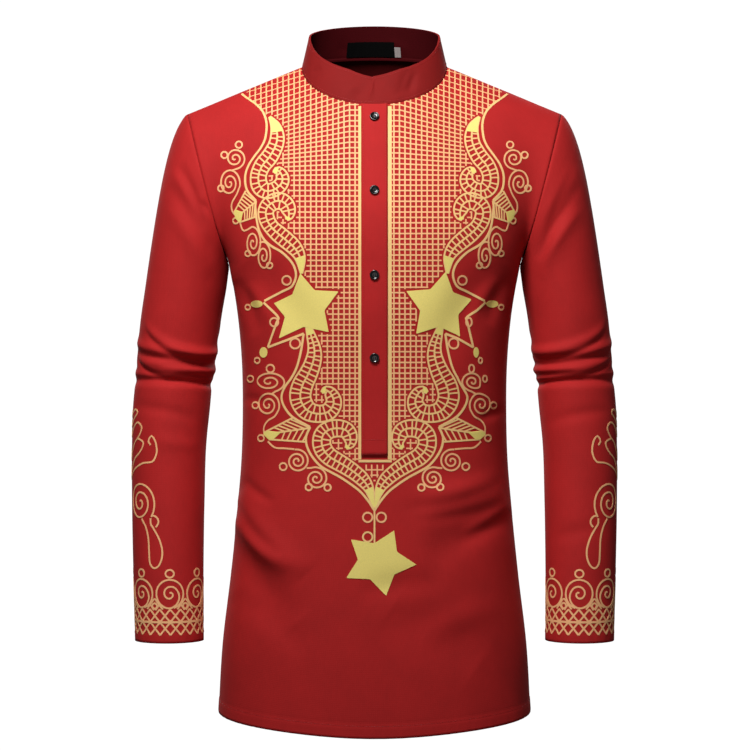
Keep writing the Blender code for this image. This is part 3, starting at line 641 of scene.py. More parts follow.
def sleeve_grid(creases, seed):
    """The sleeve's outer face at +X: rings from the armhole to the cuff edge."""
    start = armhole()
    turn = 2 * np.pi * np.arange(len(start)) / len(start)
    cap = cap_points(start, turn, np.linspace(0, 1, CAP_ROWS + 1)[:, None] * np.ones(len(start)))
    levels = np.concatenate([
        np.linspace(CAP_END_Z, ELBOW_TOP_Z, UPPER_TUBE_ROWS + 1)[1:],
        np.linspace(ELBOW_TOP_Z, ELBOW_END_Z, ELBOW_ROWS + 1)[1:],
        np.linspace(ELBOW_END_Z, CUFF_Z, FOREARM_ROWS + 1)[1:],
    ])
    tube = sleeve_ring(turn[None, :], levels[:, None] * np.ones(len(turn)))
    grid = np.concatenate([cap, tube])
    degrees = np.degrees(turn)[None, :] * np.ones(grid.shape[:2])
    fade = smooth_step(0, FOLDS_GROW_OVER_CAP, np.arange(len(grid)) / CAP_ROWS)[:, None]
    lift = np.zeros(grid.shape[:2])
    for lap in (-360, 0):  # a crease may run past the outer side in either direction
        lift += crease_height(ELBOW_FOLDS + CAP_FOLDS + creases, (degrees + lap) * FOLD_ARC, grid[..., 2],
                              FOLD_ARC)
    grid = grid + grid_normals(grid, 1, closed=True) * (lift * fade)[..., None]
    down = travelled(grid, 0)
    round_it = travelled(grid, 1, closed=True)[:, :-1]
    to_cuff = down[-1:] - down
    roll = np.maximum(0, 1 - down / SEAM_ROLL_WIDTH) ** 2 * SEAM_ROLL
    sewn = near(down, CAP_PUCKER_REACH) + near(to_cuff, CUFF_PUCKER_REACH)
    lift = pucker(round_it, seed) * sewn * PUCKER + turned_edge(to_cuff, CUFF_DEPTH) - roll
    grid = grid + grid_normals(grid, 1, closed=True) * lift[..., None]
    step = grid[1] - grid[0]
    grid[0] += step / np.linalg.norm(step, axis=1, keepdims=True) * SEAM_GAP
    return grid


sleeves_at_plus_x = {"left": sleeve_grid(LEFT_CREASES, 31), "right": sleeve_grid(RIGHT_CREASES, 32)}
sleeve_grids, sleeves = {}, {}
for side, sign in SIGNS.items():
    sleeve_grids[side] = sleeves_at_plus_x[side] * (sign, 1, 1)
    sleeve = cloth_shell(f"{side}_sleeve", sleeve_grids[side], CLOTH_SHOWN, red_cotton, closed=True,
                         outwards=sign)
    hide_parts(f"sleeve_{side}")
    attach(sleeve, "root")
    sleeves[side] = sleeve


# Collar
# A stand of doubled red cotton with a stiff lining, sewn up from the neck seam. Its two ends meet in a
# small notch at the centre front, the wearer's left one over the right one.

COLLAR_CLOTH = 0.0022
COLLAR_HEIGHT = 0.040
COLLAR_TOP_HALF_WIDTH = 0.080
COLLAR_TOP_FRONT = (-0.052, -0.0135)
COLLAR_TOP_SIDE = (0.004, 0.0365)
COLLAR_TOP_BACK = (0.056, 0.0558)
COLLAR_NOTCH = 0.0055
COLLAR_NOTCH_REACH = 0.030
COLLAR_LAP = 0.011
COLLAR_SLANT = 0.85
COLLAR_TUCK = COLLAR_CLOTH + 0.0005
COLLAR_TUCK_FROM = 32
COLLAR_TUCK_TO = 9
COLLAR_SEAM_GAP = 0.0005
COLLAR_ROWS = 16
COLLAR_COLUMNS = 190
COLLAR_ROUND = 0.0007
COLLAR_ALLOWANCE = (-0.075, -0.03)  # shares of the collar's height sewn down inside the neck
COLLAR_INSIDE = 0.0014
# The collar's outside is a darker red than the body's: partly the collar's own cloth, partly painted shade.
COLLAR_RED_WITH_PAINTED_SHADE = "86110F"
# Inside, the collar is a near-black red, which is painted shade, because the inside of the collar lies in
# shadow.
COLLAR_PAINTED_SHADE = "3E080C"
# Across, these creases count in degrees from the centre front towards +X, and up in the collar's height.
COLLAR_CREASES = (
    (-6, 1, -2, 37, 0, 2.6, 1.2), (26, 2, 30, 36, 0, 12, -3), (-22, 4, -14, 24, 3, 3, 1),
    (-15, 2, -9, 20, 2, 2.8, -1.1), (24, 8, 33, 34, 2, 3.4, 1.1), (30, 6, 38, 30, 2, 3.4, -1),
    (12, 3, 40, 9, 2, 3, 0.7), (-62, 10, -50, 26, 3, 4.5, -0.9), (150, 8, 168, 20, 3, 5, -0.9),
    (196, 10, 214, 17, -2, 5, 0.8),
)


def collar_points(turn, rise):
    """The collar's outer face: rise 0 is the neck seam, 1 the upper edge."""
    front = np.cos(turn) > 0
    lean = np.arcsin(np.clip(abs(np.sin(turn)), 0, 1))
    base = np.where(front[..., None], neck_point(-1, lean), neck_point(1, lean))
    base[..., 0] = NECK_HALF_WIDTH * np.sin(turn)
    y, z = (np.where(front, COLLAR_TOP_FRONT[k], COLLAR_TOP_BACK[k]) for k in (0, 1))
    side_y, side_z = COLLAR_TOP_SIDE
    c = abs(np.cos(turn))
    top = points(COLLAR_TOP_HALF_WIDTH * np.sin(turn), side_y + (y - side_y) * c, side_z + (z - side_z) * c)
    top[..., 2] -= front * COLLAR_NOTCH * np.maximum(0, 1 - abs(top[..., 0]) / COLLAR_NOTCH_REACH)
    up = (top - base) / np.linalg.norm(top - base, axis=-1, keepdims=True)
    return base + up * COLLAR_SEAM_GAP + (top - base) * np.asarray(rise)[..., None]


def collar_grid():
    lap = math.asin(COLLAR_LAP / NECK_HALF_WIDTH)
    turns = np.linspace(-lap, 2 * math.pi + lap, COLLAR_COLUMNS + 1)
    rises = np.concatenate([COLLAR_ALLOWANCE, np.linspace(0, 1, COLLAR_ROWS + 1)])[:, None]
    past_centre = np.minimum(turns, 0) + np.maximum(turns - 2 * math.pi, 0)
    slanted = turns - past_centre * COLLAR_SLANT * rises
    grid = collar_points(slanted, rises * np.ones_like(slanted))
    tuck = smooth_step(-COLLAR_TUCK_FROM, -COLLAR_TUCK_TO, np.degrees(turns) - 360) * COLLAR_TUCK
    arc = math.radians(NECK_HALF_WIDTH)
    inside = np.where(rises < 0, COLLAR_INSIDE, 0)
    degrees = np.degrees(turns)[None, :] * np.ones_like(rises)
    degrees = np.where(degrees > 270, degrees - 360, degrees)
    lift = crease_height(COLLAR_CREASES, degrees * arc, rises * COLLAR_HEIGHT * np.ones_like(degrees), arc)
    return grid + grid_normals(grid, 1) * (lift - tuck[None, :] - inside)[..., None]


collar_red = cloth_material("stiffened_red_collar_cotton", COLLAR_RED_WITH_PAINTED_SHADE, RED_SHEEN)
# The collar's inside takes the near-black red of painted shade.
collar_painted_shade = cloth_material("collar_inside_painted_shade", COLLAR_PAINTED_SHADE, "7A2020", shine=0.03)
collar = cloth_shell("collar", collar_grid(), COLLAR_CLOTH, collar_red, reverse=collar_painted_shade)
rounded = collar.modifiers.new("turned_edge", "BEVEL")
rounded.width = COLLAR_ROUND
rounded.segments = 3
rounded.limit_method = "ANGLE"
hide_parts("collar_band")
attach(collar, "root")


# Placket
# Two doubled strips of the red cotton over the slot: the outer one has the buttonholes, and the one
# behind the front carries the buttons. The outer one ends in a stitched box.

STRIP_CLOTH = 0.0012
STRIP_GAP = 0.0006
STRIP_HALF_WIDTH = 0.0155
PLACKET_END_Z = -0.472
STRIP_TOP_HEIGHT = 1.995
STRIP_ROWS = 150
STRIP_COLUMNS = 12
PANEL_CLOTH = 0.0015  # as thick as the CAD's front, which the under strip lies behind


def strip_grid(lift):
    """Points over the slot, from the strip's lower end to the neck seam, moved off the panel."""
    heights = np.linspace(height_at(-1, PLACKET_END_Z), STRIP_TOP_HEIGHT, STRIP_ROWS + 1)
    xs = np.linspace(-STRIP_HALF_WIDTH, STRIP_HALF_WIDTH, STRIP_COLUMNS + 1)
    rows = []
    for height in heights:
        ahead = body_point(-1, 0, min(height + 0.01, 2)) - body_point(-1, 0, height - 0.01)
        normal = np.cross((1, 0, 0), ahead)
        row = body_point(-1, share_at(-1, height, abs(xs)), height) * points(np.sign(xs), 1, 1)
        rows.append(row + normal / np.linalg.norm(normal) * lift)
    return np.array(rows)


top_strip_grid = strip_grid(STRIP_GAP + STRIP_CLOTH)
for name, grid, replaced in (
    ("buttonhole_strip", top_strip_grid, "placket_top_strip"),
    ("button_strip", strip_grid(-PANEL_CLOTH - STRIP_GAP), "placket_under_strip"),
):
    strip = cloth_shell(name, grid, STRIP_CLOTH, red_cotton)
    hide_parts(replaced)
    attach(strip, "root")


# Printed chest
# Pale yellow ink on the front: a fine square grid inside a wavy edge, ladders that curl up at their ends,
# small spirals, sprigs and plump stars. The ink is flat. The two halves are mirror images but for the
# stars and, below them, the outer part of the half at +X.

INK = "F8E37E"
LINE_INK = "FACC88"  # the thinner a line is, the warmer it looks, because the red cloth shows at its edges
FINE_INK = "FBBE86"
PRINT_PLANE_Y = -0.115  # the print's places are millimetres on this plane, as the camera sees them
INK_DEPTH = 0.0004
INK_STEP = 0.0027
PATCH_STEP = 0.003
RIGHT_HALF_CLOSER = 0.33  # the outer print at +X lies closer in than the other half, below the star
CLOSER_FROM_X = 0.097
CLOSER_RISES, CLOSER_ENDS = (-0.405, -0.385), (-0.312, -0.300)
GRID_ACROSS = 0.0065
GRID_DOWN = 0.0063
GRID_LINE = 0.0017
GRID_CLEAR = 0.0026
GRID_SLOPE = 0.30  # its rows run down with the shoulders at the top
GRID_SLOPE_FROM_X, GRID_SLOPE_RISES = 0.03, (-0.16, -0.04)
GRID_REACH = (0.15, 0.54)  # its lines go this far to each side, and down
GRID_LOW, GRID_HIGH = -0.535, 0.03
GRID_SAMPLE = 0.0006
GRID_FROM_PLACKET = 0.0185
LADDER_LINE = 0.0021
RUNG_LINE = 0.0018
RUNG_SPACING = 0.0058
OUTLINE_LINE = 0.0027
SCROLL_LINE = 0.0021
STAR_INNER = 0.69  # its inner corners' share of the way out to the line between two points
BAR_LINES = ((-0.0173, 0.0034), (0.0179, 0.0046))  # each bar's middle and width, beside the placket
BAR_END_Z = -0.4780
CROSS_BAR_LINE = 0.0030
CROSS_BAR_BEYOND = (-0.0015, 0.0023)  # how far it runs past the bars' middles
# How far the top of each kind of mark lies off the cloth: where two cross, the higher one shows.
GRID_LIFTS = (0.00034, 0.00030)
RUNG_LIFT, STRIPE_LIFT, LINE_LIFT, LADDER_LIFT = 0.00036, 0.00034, 0.00038, 0.00040
SPIRAL_LIFT, TIP_LIFT, OUTLINE_LIFT, RING_LIFT, BLOB_LIFT = 0.00042, 0.00044, 0.00046, 0.00048, 0.00050
SPRIG_LIFT, STAR_LIFT, BAR_LIFT, CROSS_BAR_LIFT = 0.00052, 0.00056, 0.00060, 0.00064

GRID_EDGE = (
    (0, 20), (155, 20), (153, -46), (138, -60), (129, -70), (123, -74), (113, -97), (123, -121), (136, -143),
    (135, -154), (130, -160), (123, -161), (122, -176), (127, -188), (112, -212), (95, -226), (86, -243),
    (84, -298), (71, -343), (74, -366), (84, -388), (87, -400), (78, -419), (60, -424), (62, -456),
    (52, -473), (22, -492), (7, -508), (0, -535),
)
# Each point of a ladder: across, up and half its width.
SHOULDER_LADDER = (
    (123, -74, 0.9), (116, -85.5, 5.4), (114, -97, 7.6), (116, -108, 8.4), (123, -121, 9.2),
    (131.5, -131.5, 9.0), (136, -143, 8.9), (135, -154, 9.3), (130, -160, 8.9), (122.5, -161, 8.3),
    (115, -158, 8.0), (109, -152, 7.7), (108, -145, 7.0), (111, -139, 5.4), (115, -137, 3.4),
    (118, -140, 0.9),
)
CHEST_LADDER = (
    (103, -195, 0.9), (100.5, -191, 4.7), (100.5, -185, 7.5), (103, -178, 8.7), (108.5, -173.5, 9.3),
    (115, -173, 9.3), (121.5, -176, 9.2), (126, -181, 8.8), (127.5, -188, 8.7), (125, -197, 8.6),
    (120, -204.5, 8.4), (112.5, -211.5, 9.2), (104, -218.5, 9.2), (95.5, -226, 8.6), (89.5, -234, 7.0),
    (86.5, -243, 4.9), (85.5, -258, 0.9),
)
WAIST_LADDER = (
    (78, -318, 2.6), (74, -332, 4.9), (71, -343, 6.6), (70.5, -354, 8.2), (73.5, -366, 9.4),
    (78.5, -377.5, 10.5), (84, -388, 11.5), (87, -400, 12.0), (85, -410, 11.7), (78, -419, 10.8),
    (66, -422.5, 9.7), (55, -420.5, 9.6), (49, -413.5, 9.2), (48, -406, 8.4), (52, -398, 6.8),
    (57.5, -394.5, 3.9), (62, -397.5, 0.9),
)
POINT_LADDER = (
    (33.5, -463, 0.9), (29, -458, 5.4), (28.5, -450, 8.0), (32.5, -442.5, 8.9), (41.5, -439.5, 9.6),
    (52.5, -441, 10.0), (60, -447, 10.1), (62, -456, 10.2), (59.5, -465, 10.1), (52.5, -473, 9.7),
    (42.5, -479, 9.4), (32.5, -485, 8.9), (22.5, -492, 8.2), (14, -499.5, 7.6), (7.5, -508.5, 5.6),
    (3.5, -520, 2.9), (0.6, -533, 0.8),
)
LADDERS = (  # with how much of its start and of its end is solid ink, in metres
    (SHOULDER_LADDER, 0.020, 0.007), (CHEST_LADDER, 0.005, 0.020),
    (WAIST_LADDER, 0.013, 0.007), (POINT_LADDER, 0.005, 0.024),
)
EDGE_LINES = (
    ((160, -44), (151, -51), (139, -59.5), (130.5, -69), (126.5, -82.5), (128, -99), (133, -110),
     (140, -119.5), (147, -130), (151.5, -143.5), (149.5, -160), (139, -172.5)),
    ((139, -172.5), (139.5, -182), (136.5, -203), (130.5, -216.5), (122, -225), (110, -232),
     (100.5, -240.5), (94.5, -249), (92, -258.5), (93.5, -267), (98, -274), (108, -279), (129, -290)),
    ((130, -292), (113, -309), (115, -316), (125, -344.5)),
    ((125, -344.5), (83, -328.5)),
    ((83, -328.5), (86, -348), (91, -367.5), (97.5, -380.5), (105, -391), (109, -403), (105, -415.5),
     (95, -427), (75.5, -438)),
    ((75.5, -438), (80, -448.5), (80, -457), (77, -466), (71, -475.5), (63, -484), (52, -490.5),
     (40, -497), (28, -505), (17, -513.5), (7.5, -524.5), (0, -536)),
)
STEMS = (
    ((157.6, -155), (161.5, -165), (167, -175), (167, -184), (162, -191)),
    ((162.4, -135.5), (167, -137)),
    ((116.8, -396.8), (120.5, -399.2)),
    ((74.6, -486), (79.5, -486.3)),
    ((158, -197), (154.5, -207), (150, -207), (144, -203.4)),
    ((112, -417.2), (117, -425.5), (125, -430.5), (129.5, -438), (129.5, -446)),
    ((125, -455), (117, -462), (106, -463), (94, -464)),
)
Scroll = namedtuple("Scroll", "x z radius turns start way tall")
# Each spiral's middle, its outer radius, how often it turns, the angle in degrees at which its outer end
# lies, which way it winds in (1 is anticlockwise), and its height for each millimetre of width.
SCROLLS = [Scroll(*row) for row in (
    (163.5, -123, 12.5, 2.1, 265, -1, 1.0),
    (170, -152, 12.6, 2.3, 190, -1, 1.35),
    (142.5, -222, 10.0, 2.2, 80, 1, 1.9),
    (130, -238, 9.4, 2.1, 60, 1, 1.9),
    (123.5, -385, 19.5, 2.2, 250, -1, 0.63),
    (125, -412, 13.8, 2.2, 200, -1, 1.1),
    (90.5, -478, 13.9, 2.4, 78, 1, 1.0),
    (68.5, -498.5, 14.0, 2.3, 64, 1, 0.98),
)]
RINGS = (  # middle and radius
    (159, -107, 3.9), (176, -119, 3.8), (180, -158, 3.6), (162.5, -196, 3.4), (148.5, -234.5, 3.2),
    (123, -248.5, 3.4), (103, -266, 5.2), (117.5, -315, 5.0), (93, -340, 6.0), (148.5, -297.5, 3.0),
    (137.5, -360, 3.2), (122, -369.5, 4.6), (145.5, -381.5, 3.7), (139.5, -412.5, 3.7), (133, -451, 3.7),
    (107, -484.5, 4.2), (77, -508.5, 3.9), (55, -509, 3.9), (8, -544, 5.6),
)
Sprig = namedtuple("Sprig", "tip upper_start upper_end lower_start lower_end middle_end")
SPRIGS = (
    Sprig((163, -193), (164.5, -186), (151, -161), (158.5, -198), (139.5, -191.5), (139.5, -174)),
    Sprig((130, -447), (129.5, -444.5), (95.5, -427), (124, -452.5), (80, -455.5), (75.5, -439)),
)
SPRIG_STRIPES = (0.34, 0.48, 0.62, 0.76, 0.90)  # shares of the way along a sprig's two edges
SPRIG_STRIPE_AHEAD = 0.12  # how much further on a stripe meets the middle line
SPRIG_STRIPE_LINE = 0.85 * SCROLL_LINE
SPRIG_TIP_SIDE, SPRIG_TIP_MIDDLE = 0.12, 0.38  # how much of the edges and of the middle is solid ink
# Each star's five points. They are uneven, because the cloth lies slack.
STARS = (
    ((83.4, -256), (37.2, -278.6), (48.7, -328.8), (101.8, -332.4), (114, -288.3)),
    ((-86.9, -257.8), (-117.8, -292.9), (-112, -334.1), (-53.6, -326.7), (-42.1, -278.9)),
    ((23, -559.4), (-27.6, -569.9), (-33.2, -615.2), (13.6, -636.2), (49.2, -599.4)),
)
BLOBS = ((138, -293.7, 7.0, 4.2), (130, -350.5, 4.6, 6.2))  # middle, half width, half height
HANGING_LINE = ((0, -0.534), (0, -0.576))
HANGING_RING = (-8, -567, 5.6, 5.6)

Ink = namedtuple("Ink", "points faces")

printed_rows = front_grid[1:, 1:-1]
rows, columns = printed_rows.shape[:2]
i, j = np.meshgrid(np.arange(rows - 1), np.arange(columns - 1), indexing="ij")
cells = np.stack([i * columns + j, i * columns + j + 1, (i + 1) * columns + j + 1, (i + 1) * columns + j],
                 axis=-1).reshape(-1, 4)
front_cloth = BVHTree.FromPolygons(printed_rows.reshape(-1, 3).tolist(), cells.tolist())


def on_front(plan):
    """Where the camera sees places of the print plane on the front, the normals there, and if it does."""
    eye = Vector(CAMERA_PLACE)
    places, normals, hit = np.zeros((len(plan), 3)), np.zeros((len(plan), 3)), np.zeros(len(plan), bool)
    plan = np.array(plan)[:, :2]
    below_star = smooth_step(*CLOSER_RISES, plan[:, 1]) * (1 - smooth_step(*CLOSER_ENDS, plan[:, 1]))
    plan[:, 0] -= np.maximum(0, plan[:, 0] - CLOSER_FROM_X) * RIGHT_HALF_CLOSER * below_star
    for k, (x, z) in enumerate(plan):
        place, normal, _, _ = front_cloth.ray_cast(eye, Vector((x, PRINT_PLANE_Y, z)) - eye)
        if place is not None and abs(normal.y) > 0.06:
            places[k], normals[k], hit[k] = place, normal if normal.y < 0 else -normal, True
    return places, normals, hit


def add_ink(ink, places, faces):
    first = sum(len(group) for group in ink.points)
    ink.points.append(places)
    ink.faces.extend([[first + k for k in face] for face in faces])


def ribbon(ink, places, normals, width, lift):
    """A flat line of ink along points of the cloth, its top this far off the cloth."""
    run = np.gradient(places, axis=0)
    aside = np.cross(normals, run)
    aside = aside / np.linalg.norm(aside, axis=1, keepdims=True) * width / 2
    top, bottom = places + normals * lift, places + normals * (lift - INK_DEPTH)
    corners = np.stack([top + aside, top - aside, bottom - aside, bottom + aside], axis=1)
    faces = [(4 * i + k, 4 * i + (k + 1) % 4, 4 * i + 4 + (k + 1) % 4, 4 * i + 4 + k)
             for i in range(len(places) - 1) for k in range(4)]
    end = 4 * len(places) - 4
    faces += [(3, 2, 1, 0), (end, end + 1, end + 2, end + 3)]
    add_ink(ink, corners.reshape(-1, 3), faces)


def patch(ink, outline, lift, place=on_front):
    """A filled shape of ink. place turns places of the plan into points of the cloth and its normals."""
    outline = np.asarray(outline)
    low, high = outline.min(axis=0), outline.max(axis=0)
    x, z = np.meshgrid(np.arange(low[0], high[0], PATCH_STEP), np.arange(low[1], high[1], PATCH_STEP))
    inner = np.stack([x.ravel(), z.ravel()], axis=1)
    inner = inner[inside_polygon(inner, outline)]
    if len(inner):
        apart = np.linalg.norm(inner[:, None] - outline[None], axis=2).min(axis=1)
        inner = inner[apart > PATCH_STEP * 0.45]
    flat = [Vector(p) for p in np.concatenate([outline, inner])]
    plan, _, triangles = delaunay_2d_cdt(flat, [], [list(range(len(outline)))], 1, 1e-7)[:3]
    places, normals, hit = place(np.array(plan))
    if not hit.all():
        return
    a, b, c = (places[k] for k in triangles[0])
    if np.cross(b - a, c - a) @ normals[triangles[0][0]] < 0:
        triangles = [t[::-1] for t in triangles]
    count = len(places)
    faces = list(triangles) + [[k + count for k in t[::-1]] for t in triangles]
    edges = {(t[k], t[(k + 1) % 3]) for t in triangles for k in range(3)}
    faces += [(b, a, a + count, b + count) for a, b in sorted(edges) if (b, a) not in edges]
    add_ink(ink, np.concatenate([places + normals * lift, places + normals * (lift - INK_DEPTH)]), faces)


def inside_polygon(places, polygon):
    inside = np.zeros(len(places), bool)
    x, z = places.T
    for (x0, z0), (x1, z1) in zip(polygon, np.roll(polygon, -1, axis=0)):
        if z0 != z1:
            inside ^= ((z0 > z) != (z1 > z)) & (x < (x1 - x0) * (z - z0) / (z1 - z0) + x0)
    return inside


def lengths(path):
    """How far each point of a path lies along it."""
    return np.concatenate([[0], np.cumsum(np.linalg.norm(np.diff(path, axis=0), axis=1))])


def spread(path, step=INK_STEP):
    """The path again, with points at equal steps no longer than this."""
    path = np.asarray(path, float)
    length = lengths(path[:, :2])
    where = np.linspace(0, length[-1], max(2, math.ceil(length[-1] / step) + 1))
    return np.stack([np.interp(where, length, path[:, k]) for k in range(path.shape[1])], axis=1)


def curve_through(rows, step=INK_STEP):
    """A smooth curve through the rows of a table in millimetres, as metres at equal steps."""
    rows = np.asarray(rows, float) * 0.001
    ends = np.concatenate([2 * rows[:1] - rows[1:2], rows, 2 * rows[-1:] - rows[-2:-1]])
    t = np.linspace(0, 1, 12, endpoint=False)[:, None]
    parts = [
        b + 0.5 * ((c - a) * t + (2 * a - 5 * b + 4 * c - d) * t ** 2 + (3 * b - a - 3 * c + d) * t ** 3)
        for a, b, c, d in zip(ends, ends[1:], ends[2:], ends[3:])]
    return spread(np.concatenate(parts + [rows[-1:]]), step)


def oval(x, z, half_width, half_height, points_round=18):
    turn = np.linspace(0, 2 * math.pi, points_round + 1)
    return np.stack([x + half_width * np.cos(turn), z + half_height * np.sin(turn)], axis=1) * 0.001


def spiral(scroll, stops=(0, 1), reaches=(1, 0.08)):
    """A spiral that winds in from its outer end; at each stop of its length it has that reach."""
    t = np.linspace(0, 1, 60)
    turn = math.radians(scroll.start) + scroll.way * scroll.turns * 2 * math.pi * t
    radius = scroll.radius * np.interp(t, stops, reaches)
    return spread(np.stack([scroll.x + radius * np.cos(turn),
                            scroll.z + radius * scroll.tall * np.sin(turn)], axis=1) * 0.001, 0.0022)


def star_outline(star):
    tips = np.array(star)
    between = (tips + np.roll(tips, -1, axis=0)) / 2
    inner = tips.mean(axis=0) + (between - tips.mean(axis=0)) * STAR_INNER
    corners = np.stack([tips, inner], axis=1).reshape(-1, 2) * 0.001
    return spread(np.concatenate([corners, corners[:1]]), 0.0024)[:-1]


def ladder_parts(table, solid_start, solid_end):
    """A ladder in plan: its centre, its lines and rungs as (path, width) pairs, and its solid ends."""
    centre = curve_through(table, 0.002)
    run = np.gradient(centre[:, :2], axis=0)
    run = run / np.linalg.norm(run, axis=1, keepdims=True)
    aside = np.stack([-run[:, 1], run[:, 0]], axis=1) * np.maximum(centre[:, 2:], 0.0004)
    left, right, middle = centre[:, :2] + aside, centre[:, :2] - aside, centre[:, :2]
    lines = [(left, LADDER_LINE), (right, LADDER_LINE), (middle, LADDER_LINE)]
    travel = lengths(middle)
    open_part = (travel > solid_start) & (travel < travel[-1] - solid_end)
    for edge in (left, right):
        row = (middle + edge) / 2
        length = lengths(row)
        for stop in np.arange(RUNG_SPACING / 2, length[-1], RUNG_SPACING):
            k = int(np.searchsorted(length, stop))
            if k < len(row) and open_part[k]:
                lines.append((spread([middle[k], edge[k]]), RUNG_LINE))
    tips = []
    for first, last in runs(~open_part):
        part = slice(first, last + 1)
        if last - first > 1:
            tips.append(np.concatenate([left[part], right[part][::-1]]))
    return centre, lines, tips


def runs(keep):
    """The first and last place of each unbroken run of True."""
    edge = np.flatnonzero(np.diff(np.concatenate([[0], np.asarray(keep, int), [0]])))
    return list(zip(edge[::2], edge[1::2] - 1))


def lay(ink, plan, width, lift, place=on_front):
    """Lays a line of the plan on the cloth, where the cloth is."""
    places, normals, hit = place(plan)
    for first, last in runs(hit):
        if last > first:
            ribbon(ink, places[first:last + 1], normals[first:last + 1], width, lift)


chest_ink, line_ink, fine_ink = Ink([], []), Ink([], []), Ink([], [])
ladder_places = []
for sign in (1, -1):
    for table, solid_start, solid_end in LADDERS:
        centre, lines, tips = ladder_parts(table, solid_start, solid_end)
        if sign > 0:
            ladder_places.append(centre)
        for path, width in lines:
            lay(line_ink, path * (sign, 1), width, LADDER_LIFT if width == LADDER_LINE else RUNG_LIFT)
        for tip in tips:
            patch(chest_ink, tip * (sign, 1), TIP_LIFT)
    for line in EDGE_LINES:
        lay(line_ink, curve_through(line) * (sign, 1), OUTLINE_LINE, OUTLINE_LIFT)
    for stem in STEMS:
        lay(fine_ink, curve_through(stem) * (sign, 1), SCROLL_LINE, LINE_LIFT)
    for scroll in SCROLLS:
        lay(fine_ink, spiral(scroll) * (sign, 1), SCROLL_LINE, SPIRAL_LIFT)
    for x, z, radius in RINGS:
        lay(fine_ink, oval(x, z, radius, radius, 14) * (sign, 1), SCROLL_LINE, RING_LIFT)
    for blob in BLOBS:
        patch(chest_ink, oval(*blob)[:-1] * (sign, 1), BLOB_LIFT)
    for sprig in SPRIGS:
        sprig_points = np.array(sprig, float) * 0.001 * (sign, 1)
        tip, upper, upper_end, lower, lower_end, middle = sprig_points
        sides = (upper, upper_end), (lower, lower_end)
        for start, end in (*sides, (tip, middle)):
            lay(line_ink, spread([start, end]), SCROLL_LINE, LINE_LIFT)
        patch(chest_ink, [tip, upper, upper + (upper_end - upper) * SPRIG_TIP_SIDE,
                          tip + (middle - tip) * SPRIG_TIP_MIDDLE,
                          lower + (lower_end - lower) * SPRIG_TIP_SIDE, lower], SPRIG_LIFT)
        for share in SPRIG_STRIPES:
            for start, end in sides:
                stripe = [tip + (middle - tip) * min(share + SPRIG_STRIPE_AHEAD, 1),
                          start + (end - start) * share]
                lay(line_ink, spread(stripe), SPRIG_STRIPE_LINE, STRIPE_LIFT)
for star in STARS:
    patch(chest_ink, star_outline(star), STAR_LIFT)
lay(line_ink, spread(HANGING_LINE), SCROLL_LINE, LINE_LIFT)
lay(line_ink, oval(*HANGING_RING), SCROLL_LINE, RING_LIFT)

in_the_way = np.concatenate(ladder_places)
star_shapes = [star_outline(star) for star in STARS[:2]]


def grid_here(plan):
    """Which places of the plan the printed grid covers."""
    half = np.stack([abs(plan[:, 0]), plan[:, 1]], axis=1)
    keep = inside_polygon(half, np.array(GRID_EDGE) * 0.001)
    keep &= (half[:, 0] > GRID_FROM_PLACKET) | (half[:, 1] < BAR_END_Z - 0.004)
    keep &= (np.linalg.norm(half[:, None] - in_the_way[None, :, :2], axis=2)
             - in_the_way[None, :, 2]).min(axis=1) > GRID_CLEAR
    for shape in star_shapes:
        keep &= ~inside_polygon(plan, shape)
        keep &= np.linalg.norm(plan[:, None] - shape[None], axis=2).min(axis=1) > GRID_CLEAR
    return keep


for axis, (spacing, lift) in enumerate(zip((GRID_ACROSS, GRID_DOWN), GRID_LIFTS)):
    stops = (np.arange(-2 * axis, round(GRID_REACH[axis] / spacing)) + 0.5) * spacing
    for stop in (-stops if axis else np.concatenate([-stops, stops])):
        ends = (-GRID_REACH[0], GRID_REACH[0]) if axis else (GRID_LOW, GRID_HIGH)
        line = np.arange(*ends, GRID_SAMPLE)
        fixed = np.full_like(line, stop)
        plan = np.stack([line, fixed] if axis else [fixed, line], axis=1)
        falling = np.maximum(abs(plan[:, 0]) - GRID_SLOPE_FROM_X, 0) * GRID_SLOPE
        plan[:, 1] -= falling * smooth_step(*GRID_SLOPE_RISES, plan[:, 1])
        for first, last in runs(grid_here(plan) & on_front(plan)[2]):
            if last - first > 3:
                lay(fine_ink, spread(plan[first:last + 1], 0.0023), GRID_LINE, lift)
for x, width in BAR_LINES:
    lay(line_ink, spread([(x, BAR_END_Z + 0.002), (x, -0.03)], 0.004), width, BAR_LIFT)
cross_bar = [(x + beyond, BAR_END_Z) for (x, _), beyond in zip(BAR_LINES, CROSS_BAR_BEYOND)]
lay(line_ink, spread(cross_bar), CROSS_BAR_LINE, CROSS_BAR_LIFT)


def printed(name, ink, paint):
    made = shown(name, new_mesh(name, np.concatenate(ink.points), ink.faces, paint))
    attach(made, "root")
    return made


def ink_material(name, colour):
    """Dried pigment ink, a little uneven where the threads under it show through."""
    made, tree, shader = new_material(name, {"Roughness": 0.62, "Specular IOR Level": 0.3})
    place = node(tree, "ShaderNodeTexCoord")
    noise = node(tree, "ShaderNodeTexNoise", {"Scale": 900.0, "Detail": 2.0},
                 {"Vector": place.outputs["Object"]})
    value = node(tree, "ShaderNodeMapRange", {"To Min": 0.88, "To Max": 1.12}, {"Value": noise})
    dye = node(tree, "ShaderNodeHueSaturation", {"Color": linear(colour)}, {"Value": value})
    tree.links.new(dye.outputs["Color"], shader.inputs["Base Color"])
    return made


yellow_ink = ink_material("pale_yellow_pigment_ink", INK)
fine_yellow_ink = ink_material("fine_lines_of_yellow_ink", FINE_INK)
chest_print = printed("chest_print", chest_ink, yellow_ink)
ladder_print = printed("chest_ladder_print", line_ink, ink_material("lines_of_yellow_ink", LINE_INK))
grid_print = printed("chest_grid_print", fine_ink, fine_yellow_ink)


# Printed sleeves
# The same ink goes round each cuff, as a row of spirals over a lattice, and up the outer side of the
# forearm as one long scroll.

